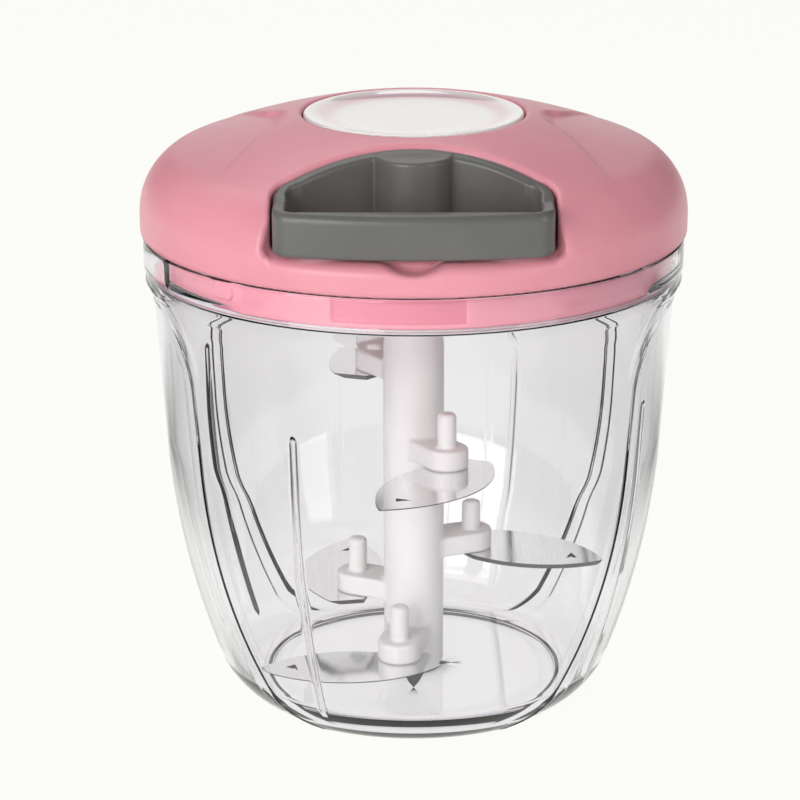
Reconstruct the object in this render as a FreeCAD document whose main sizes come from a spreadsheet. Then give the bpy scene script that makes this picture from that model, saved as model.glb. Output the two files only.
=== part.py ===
"""Pull-string food chopper: clear bowl, stacked blades and a domed lid with its cord drive.

The origin is the centre of the foot, +Z is up and the handle faces -Y. Sizes are in millimetres.
"""
import FreeCAD, Part
import math
import os
import Sketcher

# Driving dimensions: name, value, meaning
SIZES = [
    ("cover_radius", 63.0, "outer radius of the lid"),
    ("bowl_height", 110.8, "foot to rim of the bowl"),
    ("lid_height", 27.45, "rim of the bowl to the crown of the lid"),
    ("rim_overhang", 0.6, "how far the lid stands out over the rim band"),
    ("rim_step", 0.5, "step from the rim band in to the neck"),
    ("side_taper", 2.7, "neck to shoulder, in radius"),
    ("base_taper", 11.9, "shoulder to the base bend, in radius"),
    ("foot_taper", 7.1, "base bend to the foot, in radius"),
    ("foot_ring_width", 5.4, "width of the foot ring"),
    ("foot_recess", 1.2, "height of the hollow inside the foot ring"),
    ("floor_thickness", 2.3, "bowl floor"),
    ("knuckle_height", 7.8, "height of the base bend"),
    ("knuckle_bend", 20.0, "radius of the base bend in section"),
    ("shoulder_drop", 48.8, "rim to the height where the side turns straight"),
    ("side_bend", 187.0, "radius of the bowed side in section"),
    ("rim_band", 7.5, "height of the rim band"),
    ("bowl_wall", 2.4, "side wall"),
    ("rim_wall", 2.4, "wall of the rim band"),
    ("ledge_depth", 8.4, "rim top to the ledge that the seal sits on"),
    ("ledge_width", 1.8, "width of that ledge"),
    ("rib_count", 4, "upright ribs inside the bowl"),
    ("rib_angle", 63.0, "direction of the first rib"),
    ("rib_width", 1.7, "rib thickness"),
    ("rib_depth", 1.8, "how far a rib stands in from the wall"),
    ("rib_drop", 33.8, "rim to the rib tips"),
    ("grip_width", 68.0, "width of the side grip panels"),
    ("grip_drop", 11.3, "rim to the top of their arch"),
    ("grip_corner", 18.0, "radius of the arch corners"),
    ("grip_depth", 0.9, "depth of the panels in the wall"),
    ("lug_count", 3, "bayonet lugs on the lid's plug"),
    ("lug_angle", 107.0, "direction of the first lug"),
    ("lug_width", 6.5, "lug width round the plug"),
    ("lug_height", 4.0, "lug height"),
    ("lug_depth", 1.0, "how far a lug stands out into the rim"),
    ("lug_drop", 2.8, "rim top to the middle of a lug"),
    ("hub_radius", 5.0, "moulded hub that holds the pivot pin"),
    ("hub_height", 5.5, "height of that hub above the floor"),
    ("pin_radius", 2.5, "steel pivot pin"),
    ("pin_reach", 22.5, "floor to the pin's top"),
    ("running_gap", 0.05, "radial clearance of a turning fit"),
    ("fixed_gap", 0.02, "radial clearance of a pressed or glued fit"),
    ("body_gap", 0.3, "clearance between pieces that pass each other"),
    ("shaft_radius", 7.1, "blade shaft"),
    ("head_core", 4.2, "core of the shaft's drive head"),
    ("head_height", 6.0, "height of the drive head"),
    ("head_room", 0.8, "drive head to the top of its socket"),
    ("fin_count", 3, "driving fins of the head, which leave play for the lid's twist"),
    ("fin_reach", 6.4, "outer end of the fins from the axis"),
    ("fin_width", 2.2, "thickness of a fin"),
    ("socket_gap", 0.2, "clearance of the head in its socket"),
    ("driver_width", 2.4, "ribs in the socket that push the fins"),
    ("driver_angle", 60.0, "direction of the first of those ribs"),
    ("arm_width", 10.0, "width of a blade arm"),
    ("arm_height", 4.8, "height of a blade arm"),
    ("peg_distance", 14.8, "peg from the shaft's axis"),
    ("peg_radius", 2.2, "peg on each arm"),
    ("peg_height", 8.3, "peg above its arm"),
    ("peg_round", 1.4, "rounding of the peg's top"),
    ("stake_head", 0.8, "peg end below its blade"),
    ("blade_thickness", 1.0, "blade plate"),
    ("blade_1_lift", 6.0, "floor to the lowest blade"),
    ("blade_2_lift", 15.5, "floor to the second blade"),
    ("blade_3_lift", 26.5, "floor to the third blade"),
    ("blade_4_drop", 39.7, "shaft shoulder down to the fourth blade"),
    ("blade_5_drop", 22.7, "shaft shoulder down to the highest blade"),
    ("blade_reach", 45.5, "longest blade tip from the axis"),
    ("blade_clearance", 1.9, "tip to the ribs of the bowl"),
    ("blade_heel_x", 17.0, "heel of the cutting edge along its arm"),
    ("blade_heel_y", 10.6, "heel of the cutting edge across its arm"),
    ("blade_root_x", 12.8, "end of the blade's back along its arm"),
    ("blade_root_y", 5.7, "end of the blade's back across its arm"),
    ("blade_inner_x", 10.4, "inner corner along its arm"),
    ("blade_inner_y", 6.0, "inner corner across its arm"),
    ("edge_bend", 29.3, "radius of the cutting edge in plan"),
    ("back_bend", 28.9, "radius of the blade's back in plan"),
    ("bevel_width", 1.9, "ground bevel along the cutting edge"),
    ("bevel_height", 0.75, "depth of that bevel in the plate"),
    ("notch_place", 0.83, "place of the notch as a part of the blade's reach"),
    ("notch_turn", 0.86, "direction of the notch as a part of the blade's sweep"),
    ("notch_width", 2.6, "mouth of the notch"),
    ("notch_depth", 1.7, "depth of the notch"),
    ("cover_wall", 2.4, "side wall of the lid"),
    ("cover_straight", 4.9, "upright part of the lid's side"),
    ("brow_inset", 9.0, "side of the lid to where its shoulder meets the crown"),
    ("brow_drop", 8.35, "crown's edge down to that circle"),
    ("crown_edge", 25.6, "radius of the seat for the centre cap"),
    ("crown_bend", 200.0, "radius of the crown in section"),
    ("cover_bend", 15.24, "radius of the lid's shoulder in section"),
    ("seat_depth", 3.65, "crown's edge down to the centre cap's seat"),
    ("crown_plate", 3.2, "plate under that seat"),
    ("cavity_inset", 16.0, "shoulder of the lid to the flat underside"),
    ("cavity_bend", 24.0, "radius of the cavity's shoulder"),
    ("scoop_edge", 3.4, "centre cap's seat to the inner end of each palm scoop"),
    ("scoop_drop", 0.75, "crown's edge down to that end"),
    ("scoop_step", 3.0, "length of the step at that end"),
    ("scoop_step_drop", 1.9, "fall of that step"),
    ("scoop_rise", 0.3, "height of the scoop's outer end over the crown there"),
    ("scoop_nose", 10.6, "radius of the scoop's inner end in plan"),
    ("scoop_nose_depth", 5.0, "length of that round end"),
    ("scoop_nose_half", 9.0, "half width of that round end"),
    ("scoop_flare", 15.0, "how far the scoop's edges lead out from there"),
    ("scoop_half", 48.0, "half width of the scoop at the side of the lid"),
    ("scoop_seam", 90.0, "direction in which the ring under the scoops starts and ends"),
    ("cap_gap", 0.3, "centre cap to its seat all round"),
    ("cap_drop", 0.15, "crown's edge down to the cap's edge"),
    ("cap_dish", 1.3, "depth of the dish"),
    ("cap_round", 0.7, "rounding of the cap's edge"),
    ("handle_half", 30.2, "half width of the handle"),
    ("handle_setback", 1.5, "front of the handle behind the side of the lid"),
    ("corner_width", 3.7, "front corner of the handle across"),
    ("corner_start", 3.2, "start of the front corner behind the front"),
    ("corner_end", 7.0, "end of the front corner behind the front"),
    ("shoulder_width", 4.2, "back corner of the handle across"),
    ("shoulder_length", 6.4, "back corner of the handle along"),
    ("arch_rise", 8.2, "ends of the back arch in front of the boss"),
    ("handle_back_bend", 43.6, "radius of the back arch"),
    ("handle_corner", 4.2, "radius of the front corners"),
    ("handle_shoulder", 6.0, "radius of the back corners"),
    ("handle_lift", 7.9, "lower edge of the lid to the underside of the handle"),
    ("bar_drop", 9.45, "crown's edge down to the top of the front bar"),
    ("handle_wall", 2.9, "wall of the ring"),
    ("handle_bar", 4.0, "depth of the front bar"),
    ("bar_shelf", 2.0, "shoulder of the lid to the level part of the handle's top"),
    ("opening_corner", 2.0, "front corners of the finger opening"),
    ("handle_inset", 0.35, "ring top below the lid's crown"),
    ("handle_round", 1.9, "rounding of the bar's front edge"),
    ("boss_radius", 8.6, "half-round boss for the knot"),
    ("boss_drop", 2.61, "crown's edge down to the top of the boss"),
    ("boss_gap", 6.8, "where the cord turns to the centre of the boss"),
    ("recess_gap", 0.7, "recess wall and floor to the handle"),
    ("recess_wall", 2.0, "wall round the recess"),
    ("recess_under", 3.2, "wall under the recess"),
    ("mouth_bevel", 2.4, "bevel round the recess mouth"),
    ("bevel_lip", 0.5, "how far the lower bevel starts above the recess floor"),
    ("bevel_fall", 2.88, "drop of the lower bevel"),
    ("bevel_start", 4.32, "start of the side bevels behind the mouth"),
    ("bevel_run", 6.24, "length of the side bevels"),
    ("notch_radius", 9.2, "finger notch under the bar"),
    ("notch_lift", 6.2, "underside of the handle to that notch's centre"),
    ("cord_radius", 1.1, "cord"),
    ("cord_hole", 1.9, "guide hole for the cord"),
    ("knot_radius", 2.4, "knot in the handle"),
    ("knot_setback", 3.8, "centre of the boss to the knot"),
    ("turn_gap", 6.7, "winding to where the cord turns into the guide hole"),
    ("cord_turn", 5.0, "radius of that turn"),
    ("skirt_wall", 3.2, "wall of the lid base's plug"),
    ("seal_height", 1.5, "seal between the ledge and the plug"),
    ("seal_width", 1.6, "seal in radius"),
    ("seal_inset", 1.2, "rim's inner face to the seal"),
    ("tongue_height", 1.1, "tongue of the seal in its groove"),
    ("tongue_width", 0.9, "width of that tongue"),
    ("tongue_inset", 0.4, "inside of the seal to its tongue"),
    ("spigot_height", 3.0, "height of the collar inside the cover"),
    ("plate_lift", 0.7, "lower edge of the plug to the floor plate"),
    ("plate_thickness", 2.0, "floor plate"),
    ("twist_angle", 16.0, "turn of the bayonet"),
    ("channel_gap", 0.4, "bayonet channel in the rim round its lug"),
    ("panel_place", 160.0, "angle from a lug to the middle of an inset panel"),
    ("panel_angle", 28.0, "width of the inset panels on the plug as an angle"),
    ("panel_depth", 0.5, "depth of those panels"),
    ("panel_margin", 1.0, "lower edge of the plug to a panel"),
    ("panel_top_margin", 1.4, "lower edge of the lid down to a panel"),
    ("screw_count", 3, "screws that join the lid base to the cover"),
    ("screw_angle", 90.0, "direction of the first screw"),
    ("screw_inset", 16.0, "side of the lid to the circle of those screws"),
    ("boss_outer", 4.2, "screw boss under the crown"),
    ("screw_radius", 1.4, "screw shank"),
    ("screw_head", 2.9, "screw head"),
    ("screw_head_height", 1.7, "height of the head"),
    ("screw_length", 12.0, "shank of the screw"),
    ("axle_radius", 3.0, "drive axle"),
    ("axle_head", 6.0, "head of the axle in the crown"),
    ("axle_head_height", 1.6, "height of that head"),
    ("axle_drop", 0.2, "underside of the hub's web to the axle's end"),
    ("drum_radius", 14.0, "core that the cord winds on"),
    ("winding_depth", 3.9, "cord on the drum in radius"),
    ("groove_height", 4.0, "groove for the cord"),
    ("flange_depth", 6.1, "flange of the spool beyond the cord"),
    ("flange_thickness", 2.0, "upper flange"),
    ("spool_gap", 0.4, "upper flange to the crown's underside"),
    ("cup_floor", 2.5, "plate between groove and spring"),
    ("cup_wall", 1.6, "wall of the spring's cup"),
    ("spring_room", 1.5, "free height over and under the spring"),
    ("spring_inner", 4.6, "first turn of the spring"),
    ("spring_strip", 0.5, "thickness of the strip"),
    ("spring_margin", 1.8, "last turn of the spring to its cup"),
    ("spring_turns", 10, "turns of the spring"),
    ("spring_cover_thickness", 1.5, "disc below the spring"),
    ("ratchet_wall", 3.2, "wall of the ratchet ring"),
    ("ratchet_inner", 16.8, "inside of the ratchet ring"),
    ("tooth_depth", 1.9, "depth of a ratchet tooth"),
    ("tooth_lip", 0.5, "how far a tooth's cut starts inside the ring"),
    ("tooth_count", 12, "ratchet teeth"),
    ("tooth_start_angle", 11.5, "start of a tooth's slope"),
    ("tooth_end_angle", 27.5, "deep end of that slope"),
    ("tooth_face_angle", 28.0, "inner end of the tooth's face"),
    ("web_thickness", 1.8, "web between the ratchet cup and the stem"),
    ("well_depth", 2.6, "well above the socket for the axle's screw"),
    ("stem_radius", 10.7, "stem of the drive hub through the floor plate"),
    ("screw_well", 6.2, "radius of that well"),
    ("pawl_pivot", 11.0, "pawl pivot from the axis"),
    ("pawl_eye", 2.4, "eye of a pawl"),
    ("pawl_pin", 1.4, "pin of a pawl"),
    ("pawl_height", 2.0, "thickness of a pawl"),
    ("pawl_lift", 0.8, "floor of the ratchet cup to a pawl"),
    ("pawl_tip_gap", 0.9, "tip of a pawl to the ratchet ring"),
    ("pawl_tip_slant", 0.2, "slant of that tip"),
    ("pawl_tip_low", 6.0, "near corner of a pawl's tip across"),
    ("pawl_tip_high", 7.2, "far corner of a pawl's tip across"),
    ("washer_radius", 5.2, "washer under the hub's web"),
    ("washer_thickness", 0.6, "thickness of that washer"),
    ("axle_screw_radius", 1.5, "screw in the axle's end"),
    ("axle_screw_head", 3.2, "head of that screw"),
    ("axle_screw_length", 9.0, "shank of that screw"),
]

# Sizes that follow from the driving ones: name, formula, meaning
FOLLOWING = [
    ("rim_radius", "cover_radius - rim_overhang", "outer radius of the rim band"),
    ("neck_radius", "rim_radius - rim_step", "outer radius below the rim band"),
    ("shoulder_radius", "neck_radius - side_taper", "outer radius where the side turns straight"),
    ("knuckle_radius", "shoulder_radius - base_taper", "outer radius at the base bend"),
    ("foot_radius", "knuckle_radius - foot_taper", "outer edge of the foot ring"),
    ("foot_ring_radius", "foot_radius - foot_ring_width", "inner edge of the foot ring"),
    ("shoulder_height", "bowl_height - shoulder_drop", "height where the side turns straight"),
    ("rib_top", "bowl_height - rib_drop", "height of the rib tips"),
    ("grip_top", "bowl_height - grip_drop", "height of the grip panels' arch"),
    ("floor_top", "foot_recess + floor_thickness", "inside of the bowl's floor"),
    ("ledge_top", "bowl_height - ledge_depth", "height of the seal's ledge"),
    ("rim_inside", "rim_radius - rim_wall", "inner radius of the rim"),
    ("lug_middle", "bowl_height - lug_drop", "height of the lugs"),
    ("pin_top", "floor_top + pin_reach", "height of the pin's top"),
    ("cover_bottom", "bowl_height + body_gap", "lower edge of the lid"),
    ("cover_straight_top", "cover_bottom + cover_straight", "top of the lid's upright side"),
    ("crown_height", "bowl_height + lid_height", "height of the crown's edge"),
    ("brow_height", "crown_height - brow_drop", "height where the shoulder meets the crown"),
    ("cover_brow", "cover_radius - brow_inset", "radius of that circle"),
    ("seat_height", "crown_height - seat_depth", "floor of the centre cap's seat"),
    ("crown_under", "seat_height - crown_plate", "underside of the crown plate"),
    ("cavity_flat", "cover_brow - cavity_inset", "radius of the flat underside"),
    ("scoop_start", "crown_edge + scoop_edge", "inner end of each palm scoop"),
    ("scoop_neck", "scoop_start + scoop_nose_depth", "where the round end meets the straight edges"),
    ("lug_start", "skirt_radius - skirt_wall / 2", "buried end of the lugs"),
    ("cap_edge", "crown_height - cap_drop", "height of the cap's edge"),
    ("skirt_radius", "rim_inside - body_gap", "plug of the lid base in the rim"),
    ("skirt_inner", "skirt_radius - skirt_wall", "inside of that plug"),
    ("skirt_bottom", "ledge_top + seal_height", "lower edge of the plug"),
    ("spigot_radius", "cover_radius - cover_wall - body_gap", "collar of the lid base inside the cover"),
    ("seal_outer", "rim_inside - seal_inset", "outside of the seal"),
    ("seal_inner", "seal_outer - seal_width", "inside of the seal"),
    ("plate_bottom", "skirt_bottom + plate_lift", "underside of the floor plate"),
    ("plate_top", "plate_bottom + plate_thickness", "top of the floor plate"),
    ("screw_circle", "cover_radius - screw_inset", "circle of the lid's screws"),
    ("web_bottom", "plate_top", "underside of the hub's web"),
    ("ratchet_floor", "web_bottom + web_thickness", "floor of the ratchet cup"),
    ("socket_top", "web_bottom - well_depth", "top of the drive socket"),
    ("axle_bottom", "web_bottom - axle_drop", "lower end of the axle"),
    ("shaft_top", "socket_top - head_room - head_height", "shoulder below the shaft's drive head"),
    ("stem_bottom", "shaft_top + body_gap", "lower end of the hub's stem"),
    ("pawl_bottom", "ratchet_floor + pawl_lift", "underside of the pawls"),
    ("ratchet_top", "pawl_bottom + pawl_height", "top of the ratchet ring"),
    ("cup_bottom", "ratchet_top + body_gap + spring_cover_thickness", "lower edge of the spring's cup"),
    ("ratchet_outer", "ratchet_inner + ratchet_wall", "outside of the ratchet cup"),
    ("winding_radius", "drum_radius + winding_depth", "outside of the cord on the drum"),
    ("flange_radius", "winding_radius + flange_depth", "flanges of the spool"),
    ("spool_top", "crown_under - spool_gap", "top of the spool"),
    ("groove_top", "spool_top - flange_thickness", "top of the cord's groove"),
    ("groove_bottom", "groove_top - groove_height", "bottom of the cord's groove"),
    ("cord_height", "(groove_top + groove_bottom) / 2", "height of the cord"),
    ("cup_top", "groove_bottom - cup_floor", "top of the spring's room"),
    ("spring_height", "cup_top - cup_bottom - spring_room", "width of the spring strip"),
    ("spring_pitch", "(flange_radius - cup_wall - spring_inner - spring_margin) / spring_turns",
     "spacing of the turns"),
    ("cord_turn_place", "winding_radius + turn_gap", "where the cord turns into the guide hole"),
    ("boss_place", "cord_turn_place + boss_gap", "centre of the knot's boss behind the front"),
    ("knot_place", "boss_place + knot_setback", "place of the knot"),
    ("handle_front", "cover_radius - handle_setback", "front of the handle at its middle"),
    ("handle_corner_x", "handle_half - corner_width", "start of the front corner across"),
    ("handle_corner_y", "handle_front - corner_start", "start of the front corner along"),
    ("handle_side_front", "handle_front - corner_end", "front end of the straight side"),
    ("handle_back_x", "handle_half - shoulder_width", "end of the back arch across"),
    ("handle_back_y", "boss_place + arch_rise", "end of the back arch along"),
    ("handle_side_back", "handle_back_y + shoulder_length", "back end of the straight side"),
    ("handle_bottom", "cover_bottom + handle_lift", "underside of the handle"),
    ("handle_bar_top", "crown_height - bar_drop", "top of the front bar"),
    ("notch_centre", "handle_bottom + notch_lift", "height of the finger notch's centre"),
    ("recess_floor", "handle_bottom - recess_gap", "floor of the handle's recess"),
    ("blade_1_height", "floor_top + blade_1_lift", "height of the lowest blade"),
    ("blade_2_height", "floor_top + blade_2_lift", "height of the second blade"),
    ("blade_3_height", "floor_top + blade_3_lift", "height of the third blade"),
    ("blade_4_height", "shaft_top - blade_4_drop", "height of the fourth blade"),
    ("blade_5_height", "shaft_top - blade_5_drop", "height of the highest blade"),
]

# Blades from the floor up: name, direction of the arm, sweep back to the tip
BLADES = [
    ("blade_1", 257.0, 47.0),
    ("blade_2", 155.6, 44.0),
    ("blade_3", 22.0, 27.0),
    ("blade_4", 301.0, 40.0),
    ("blade_5", 127.0, 40.0),
]

ALIASES = {row[0] for row in SIZES + FOLLOWING}
for blade_row in BLADES:
    ALIASES.update({blade_row[0] + "_angle", blade_row[0] + "_sweep"})

# A sketch cannot use a bare zero as an expression of its own
ZERO = "0"
# How far a cutting tool runs past what it cuts
OVERRUN = 3.0
# Length of a short overlap between a cut and what it opens into
NIP = 1.0
# Largest difference between two places that count as the same
SAME = 0.01
# Half the width of a bayonet channel as an angle
CHANNEL_HALF = "((lug_width / 2 + channel_gap) / rim_inside * 180 / pi)"
# Direction in which a back corner of the handle moves when its outline grows
GROW_X = 0.6
GROW_Y = 0.8

doc = FreeCAD.newDocument("Chopper")
sheet = doc.addObject("Spreadsheet::Sheet", "sizes")
pieces = []


def fill_sheet():
    """Write every dimension to the sheet with its alias and meaning."""
    rows = [(alias, str(value), meaning) for alias, value, meaning in SIZES]
    for name, angle, sweep in BLADES:
        rows.append((name + "_angle", str(angle), "direction of its arm"))
        rows.append((name + "_sweep", str(sweep), "sweep from its arm to its tip"))
    rows += [(alias, "=" + formula, meaning) for alias, formula, meaning in FOLLOWING]
    for row, (alias, content, meaning) in enumerate(rows, start=1):
        sheet.setAlias("A%d" % row, alias)
        sheet.set("A%d" % row, content)
        sheet.set("B%d" % row, meaning)
    doc.recompute()


def named(text):
    """Turn a formula of alias names into one that points at the sheet."""
    words = []
    word = ""
    for letter in str(text) + " ":
        if letter.isalnum() or letter in "_.":
            word += letter
            continue
        if word and word in ALIASES:
            word = "sizes." + word
        words.append(word + letter)
        word = ""
    return "".join(words).strip()


def number(text):
    """Value of a formula of alias names."""
    result = sheet.evalExpression(named(text))
    return float(getattr(result, "Value", result))


def bind(thing, prop, text):
    """Bind one property to a formula of alias names."""
    thing.setExpression(prop, named(text))


def new_body(label):
    """An empty body with its own label."""
    body = doc.addObject("PartDesign::Body", label)
    body.Label = label
    return body


def keep(thing, label=None):
    """Mark an object as a finished piece."""
    if label:
        thing.Label = label
    pieces.append(thing)
    return thing


def plane_of(body, role):
    """Origin plane or axis of a body by its role."""
    for item in body.Origin.OriginFeatures:
        if item.Role == role:
            return item
    raise ValueError(role)


def new_sketch(body, name, role, height=None, turn=None):
    """A sketch on an origin plane, lifted along it or turned about Z."""
    sketch = body.newObject("Sketcher::SketchObject", name)
    sketch.AttachmentSupport = [(plane_of(body, role), "")]
    sketch.MapMode = "FlatFace"
    if turn is not None:
        upright = FreeCAD.Vector(0, 1, 0) if role == "XZ_Plane" else FreeCAD.Vector(0, 0, 1)
        sketch.AttachmentOffset = FreeCAD.Placement(FreeCAD.Vector(), FreeCAD.Rotation(upright, 1.0))
        bind(sketch, "AttachmentOffset.Rotation.Angle", turn)
    if height is not None:
        bind(sketch, "AttachmentOffset.Base.z", height)
    return sketch


def fix_point(sketch, geometry, place, x, y):
    """Hold one point of a sketch at two formulas."""
    origin = (-1, 1)
    for kind, text in (("DistanceX", x), ("DistanceY", y)):
        index = sketch.addConstraint(Sketcher.Constraint(kind, *origin, geometry, place, number(text)))
        if text != ZERO:
            bind(sketch, "Constraints[%d]" % index, text)


def arc_between(start, end, radius, left):
    """Arc of a given radius between two points that bends left or right on its way."""
    chord = end.sub(start)
    half = chord.Length / 2
    rise = math.sqrt(max(radius * radius - half * half, 0.0))
    normal = FreeCAD.Vector(-chord.y, chord.x, 0).normalize()
    middle = start.add(end).multiply(0.5)
    centre = middle.add(normal.multiply(rise if left else -rise))
    first, last = (start, end) if left else (end, start)
    angles = [math.atan2(point.y - centre.y, point.x - centre.x) for point in (first, last)]
    circle = Part.Circle(centre, FreeCAD.Vector(0, 0, 1), radius)
    return Part.ArcOfCircle(circle, angles[0], angles[1])


def outline(sketch, corners):
    """Closed outline through corners (x, y) or (x, y, bend), where bend describes the arc that follows.

    A bend is ("left", radius), ("right", radius) or ("half", side, axis) for a half circle.
    """
    points = [FreeCAD.Vector(number(corner[0]), number(corner[1]), 0) for corner in corners]
    ends = []
    for place, corner in enumerate(corners):
        start = points[place]
        end = points[(place + 1) % len(points)]
        bend = corner[2] if len(corner) > 2 else None
        if bend is None:
            index = sketch.addGeometry(Part.LineSegment(start, end))
            ends.append((index, 1, 2))
            continue
        half = bend[0] == "half"
        left = (bend[1] if half else bend[0]) == "left"
        radius = end.sub(start).Length / 2 if half else number(bend[1])
        index = sketch.addGeometry(arc_between(start, end, radius, left))
        ends.append((index, 1, 2) if left else (index, 2, 1))
    for place, (index, first, last) in enumerate(ends):
        after = ends[(place + 1) % len(ends)]
        sketch.addConstraint(Sketcher.Constraint("Coincident", index, last, after[0], after[1]))
        fix_point(sketch, index, first, corners[place][0], corners[place][1])
        bend = corners[place][2] if len(corners[place]) > 2 else None
        if bend is None:
            continue
        if bend[0] == "half":
            axis = bend[2]
            text = corners[place][0 if axis == "X" else 1]
            constraint = Sketcher.Constraint("Distance" + axis, -1, 1, index, 3, number(text))
        else:
            text = bend[1]
            constraint = Sketcher.Constraint("Radius", index, number(text))
        row = sketch.addConstraint(constraint)
        if text != ZERO:
            bind(sketch, "Constraints[%d]" % row, text)
    return sketch


def circle(sketch, x, y, radius):
    """Circle held by its centre and radius."""
    centre = FreeCAD.Vector(number(x), number(y), 0)
    geometry = Part.Circle(centre, FreeCAD.Vector(0, 0, 1), number(radius))
    index = sketch.addGeometry(geometry)
    fix_point(sketch, index, 3, x, y)
    row = sketch.addConstraint(Sketcher.Constraint("Radius", index, number(radius)))
    bind(sketch, "Constraints[%d]" % row, radius)
    return sketch


def turned(body, name, corners, cut=False, turn=None):
    """Revolve a profile (radius, height) about Z, as material or as a groove."""
    sketch = outline(new_sketch(body, name + "_profile", "XZ_Plane", turn=turn), corners)
    kind = "PartDesign::Groove" if cut else "PartDesign::Revolution"
    feature = body.newObject(kind, name)
    feature.Profile = sketch
    feature.ReferenceAxis = (sketch, ["V_Axis"])
    feature.Angle = 360
    return feature


def pad(body, name, sketch, length, both=False):
    """Raise a sketch along its plane's normal, or to both sides of it."""
    feature = body.newObject("PartDesign::Pad", name)
    feature.Profile = sketch
    bind(feature, "Length", length)
    feature.Midplane = both
    return feature


def pocket(body, name, sketch, length, forward=False, both=False):
    """Cut a sketch against its plane's normal, along it, or to both sides."""
    feature = body.newObject("PartDesign::Pocket", name)
    feature.Profile = sketch
    bind(feature, "Length", length)
    feature.Reversed = forward
    feature.Midplane = both
    return feature


def ring_of(body, name, features, count):
    """Repeat features round Z."""
    pattern = body.newObject("PartDesign::PolarPattern", name)
    pattern.Originals = features
    pattern.Axis = (plane_of(body, "Z_Axis"), [""])
    pattern.Angle = 360
    bind(pattern, "Occurrences", count)
    body.Tip = pattern
    return pattern


def edges_near(feature, test):
    """Names of the edges whose middle passes a test of x, y and z."""
    names = []
    for place, edge in enumerate(feature.Shape.Edges, start=1):
        middle = edge.valueAt((edge.FirstParameter + edge.LastParameter) / 2)
        if test(middle.x, middle.y, middle.z):
            names.append("Edge%d" % place)
    return names


def arc_edges(feature, radius, test):
    """Names of the round edges of one radius whose middle passes a test."""
    names = []
    for name in edges_near(feature, test):
        curve = feature.Shape.getElement(name).Curve
        if getattr(curve, "Radius", 0) and abs(curve.Radius - number(radius)) < SAME:
            names.append(name)
    return names


def rounded(body, name, feature, names, radius):
    """Round named edges of a feature."""
    fillet = body.newObject("PartDesign::Fillet", name)
    fillet.Base = (feature, names)
    bind(fillet, "Radius", radius)
    return fillet


def cylinder(name, radius, height, x, y, z):
    """Upright cylinder bound to formulas."""
    piece = doc.addObject("Part::Cylinder", name)
    bind(piece, "Radius", radius)
    bind(piece, "Height", height)
    bind(piece, "Placement.Base.x", x)
    bind(piece, "Placement.Base.y", y)
    bind(piece, "Placement.Base.z", z)
    return piece


def fused(name, shapes):
    """Union of several objects."""
    union = doc.addObject("Part::MultiFuse", name)
    union.Shapes = shapes
    return union


def cut_from(name, base, tool):
    """Base without tool."""
    result = doc.addObject("Part::Cut", name)
    result.Base = base
    result.Tool = tool
    return result


def bowl_profile(inset):
    """Corners of the bowl's side from foot to neck, moved in by a formula."""
    return [
        ("foot_radius", ZERO, ("left", "knuckle_bend")),
        ("knuckle_radius - " + inset, "knuckle_height", ("left", "side_bend")),
        ("shoulder_radius - " + inset, "shoulder_height"),
        ("neck_radius - " + inset, "bowl_height - rim_band"),
    ]


def make_bowl():
    """Clear bowl with its foot, stepped rim, ledge, ribs, bayonet channels, pin hub and grip panels."""
    body = new_body("bowl_shell")
    corners = [
        (ZERO, "foot_recess"),
        ("foot_ring_radius", "foot_recess"),
        ("foot_ring_radius", ZERO),
    ]
    corners += bowl_profile("0")
    corners += [
        ("rim_radius", "bowl_height - rim_band + rim_radius - neck_radius"),
        ("rim_radius", "bowl_height - rim_wall / 4", ("left", "rim_wall / 4")),
        ("rim_radius - rim_wall / 4", "bowl_height"),
        ("rim_inside + rim_wall / 4", "bowl_height", ("left", "rim_wall / 4")),
        ("rim_inside", "bowl_height - rim_wall / 4"),
        ("rim_inside", "ledge_top"),
        ("rim_inside - ledge_width", "ledge_top"),
        ("shoulder_radius - bowl_wall", "shoulder_height", ("right", "side_bend - bowl_wall")),
        ("knuckle_radius - bowl_wall", "knuckle_height + bowl_wall / 3",
         ("right", "knuckle_bend - bowl_wall")),
        ("foot_radius - bowl_wall / 3", "floor_top"),
        ("hub_radius", "floor_top"),
        ("hub_radius", "floor_top + hub_height"),
        (ZERO, "floor_top + hub_height"),
    ]
    turned(body, "bowl_wall_turned", corners)
    pin_hole = circle(new_sketch(body, "pin_hole_sketch", "XY_Plane", "floor_top + hub_height"),
                      ZERO, ZERO, "pin_radius + fixed_gap")
    pocket(body, "pin_hole", pin_hole, "hub_height + floor_thickness / 2")
    ribs = add_ribs(body)
    entry = add_channel(body, "entry", CHANNEL_HALF, "bowl_height + %s" % NIP)
    track = add_channel(body, "track", CHANNEL_HALF + " + twist_angle",
                        "lug_middle + lug_height / 2 + channel_gap")
    doc.recompute()
    ring_of(body, "ribs", [ribs], "rib_count")
    ring_of(body, "entries", [entry], "lug_count")
    ring_of(body, "tracks", [track], "lug_count")
    return keep(cut_from("bowl", body, grip_cutter()), "bowl")


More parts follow.
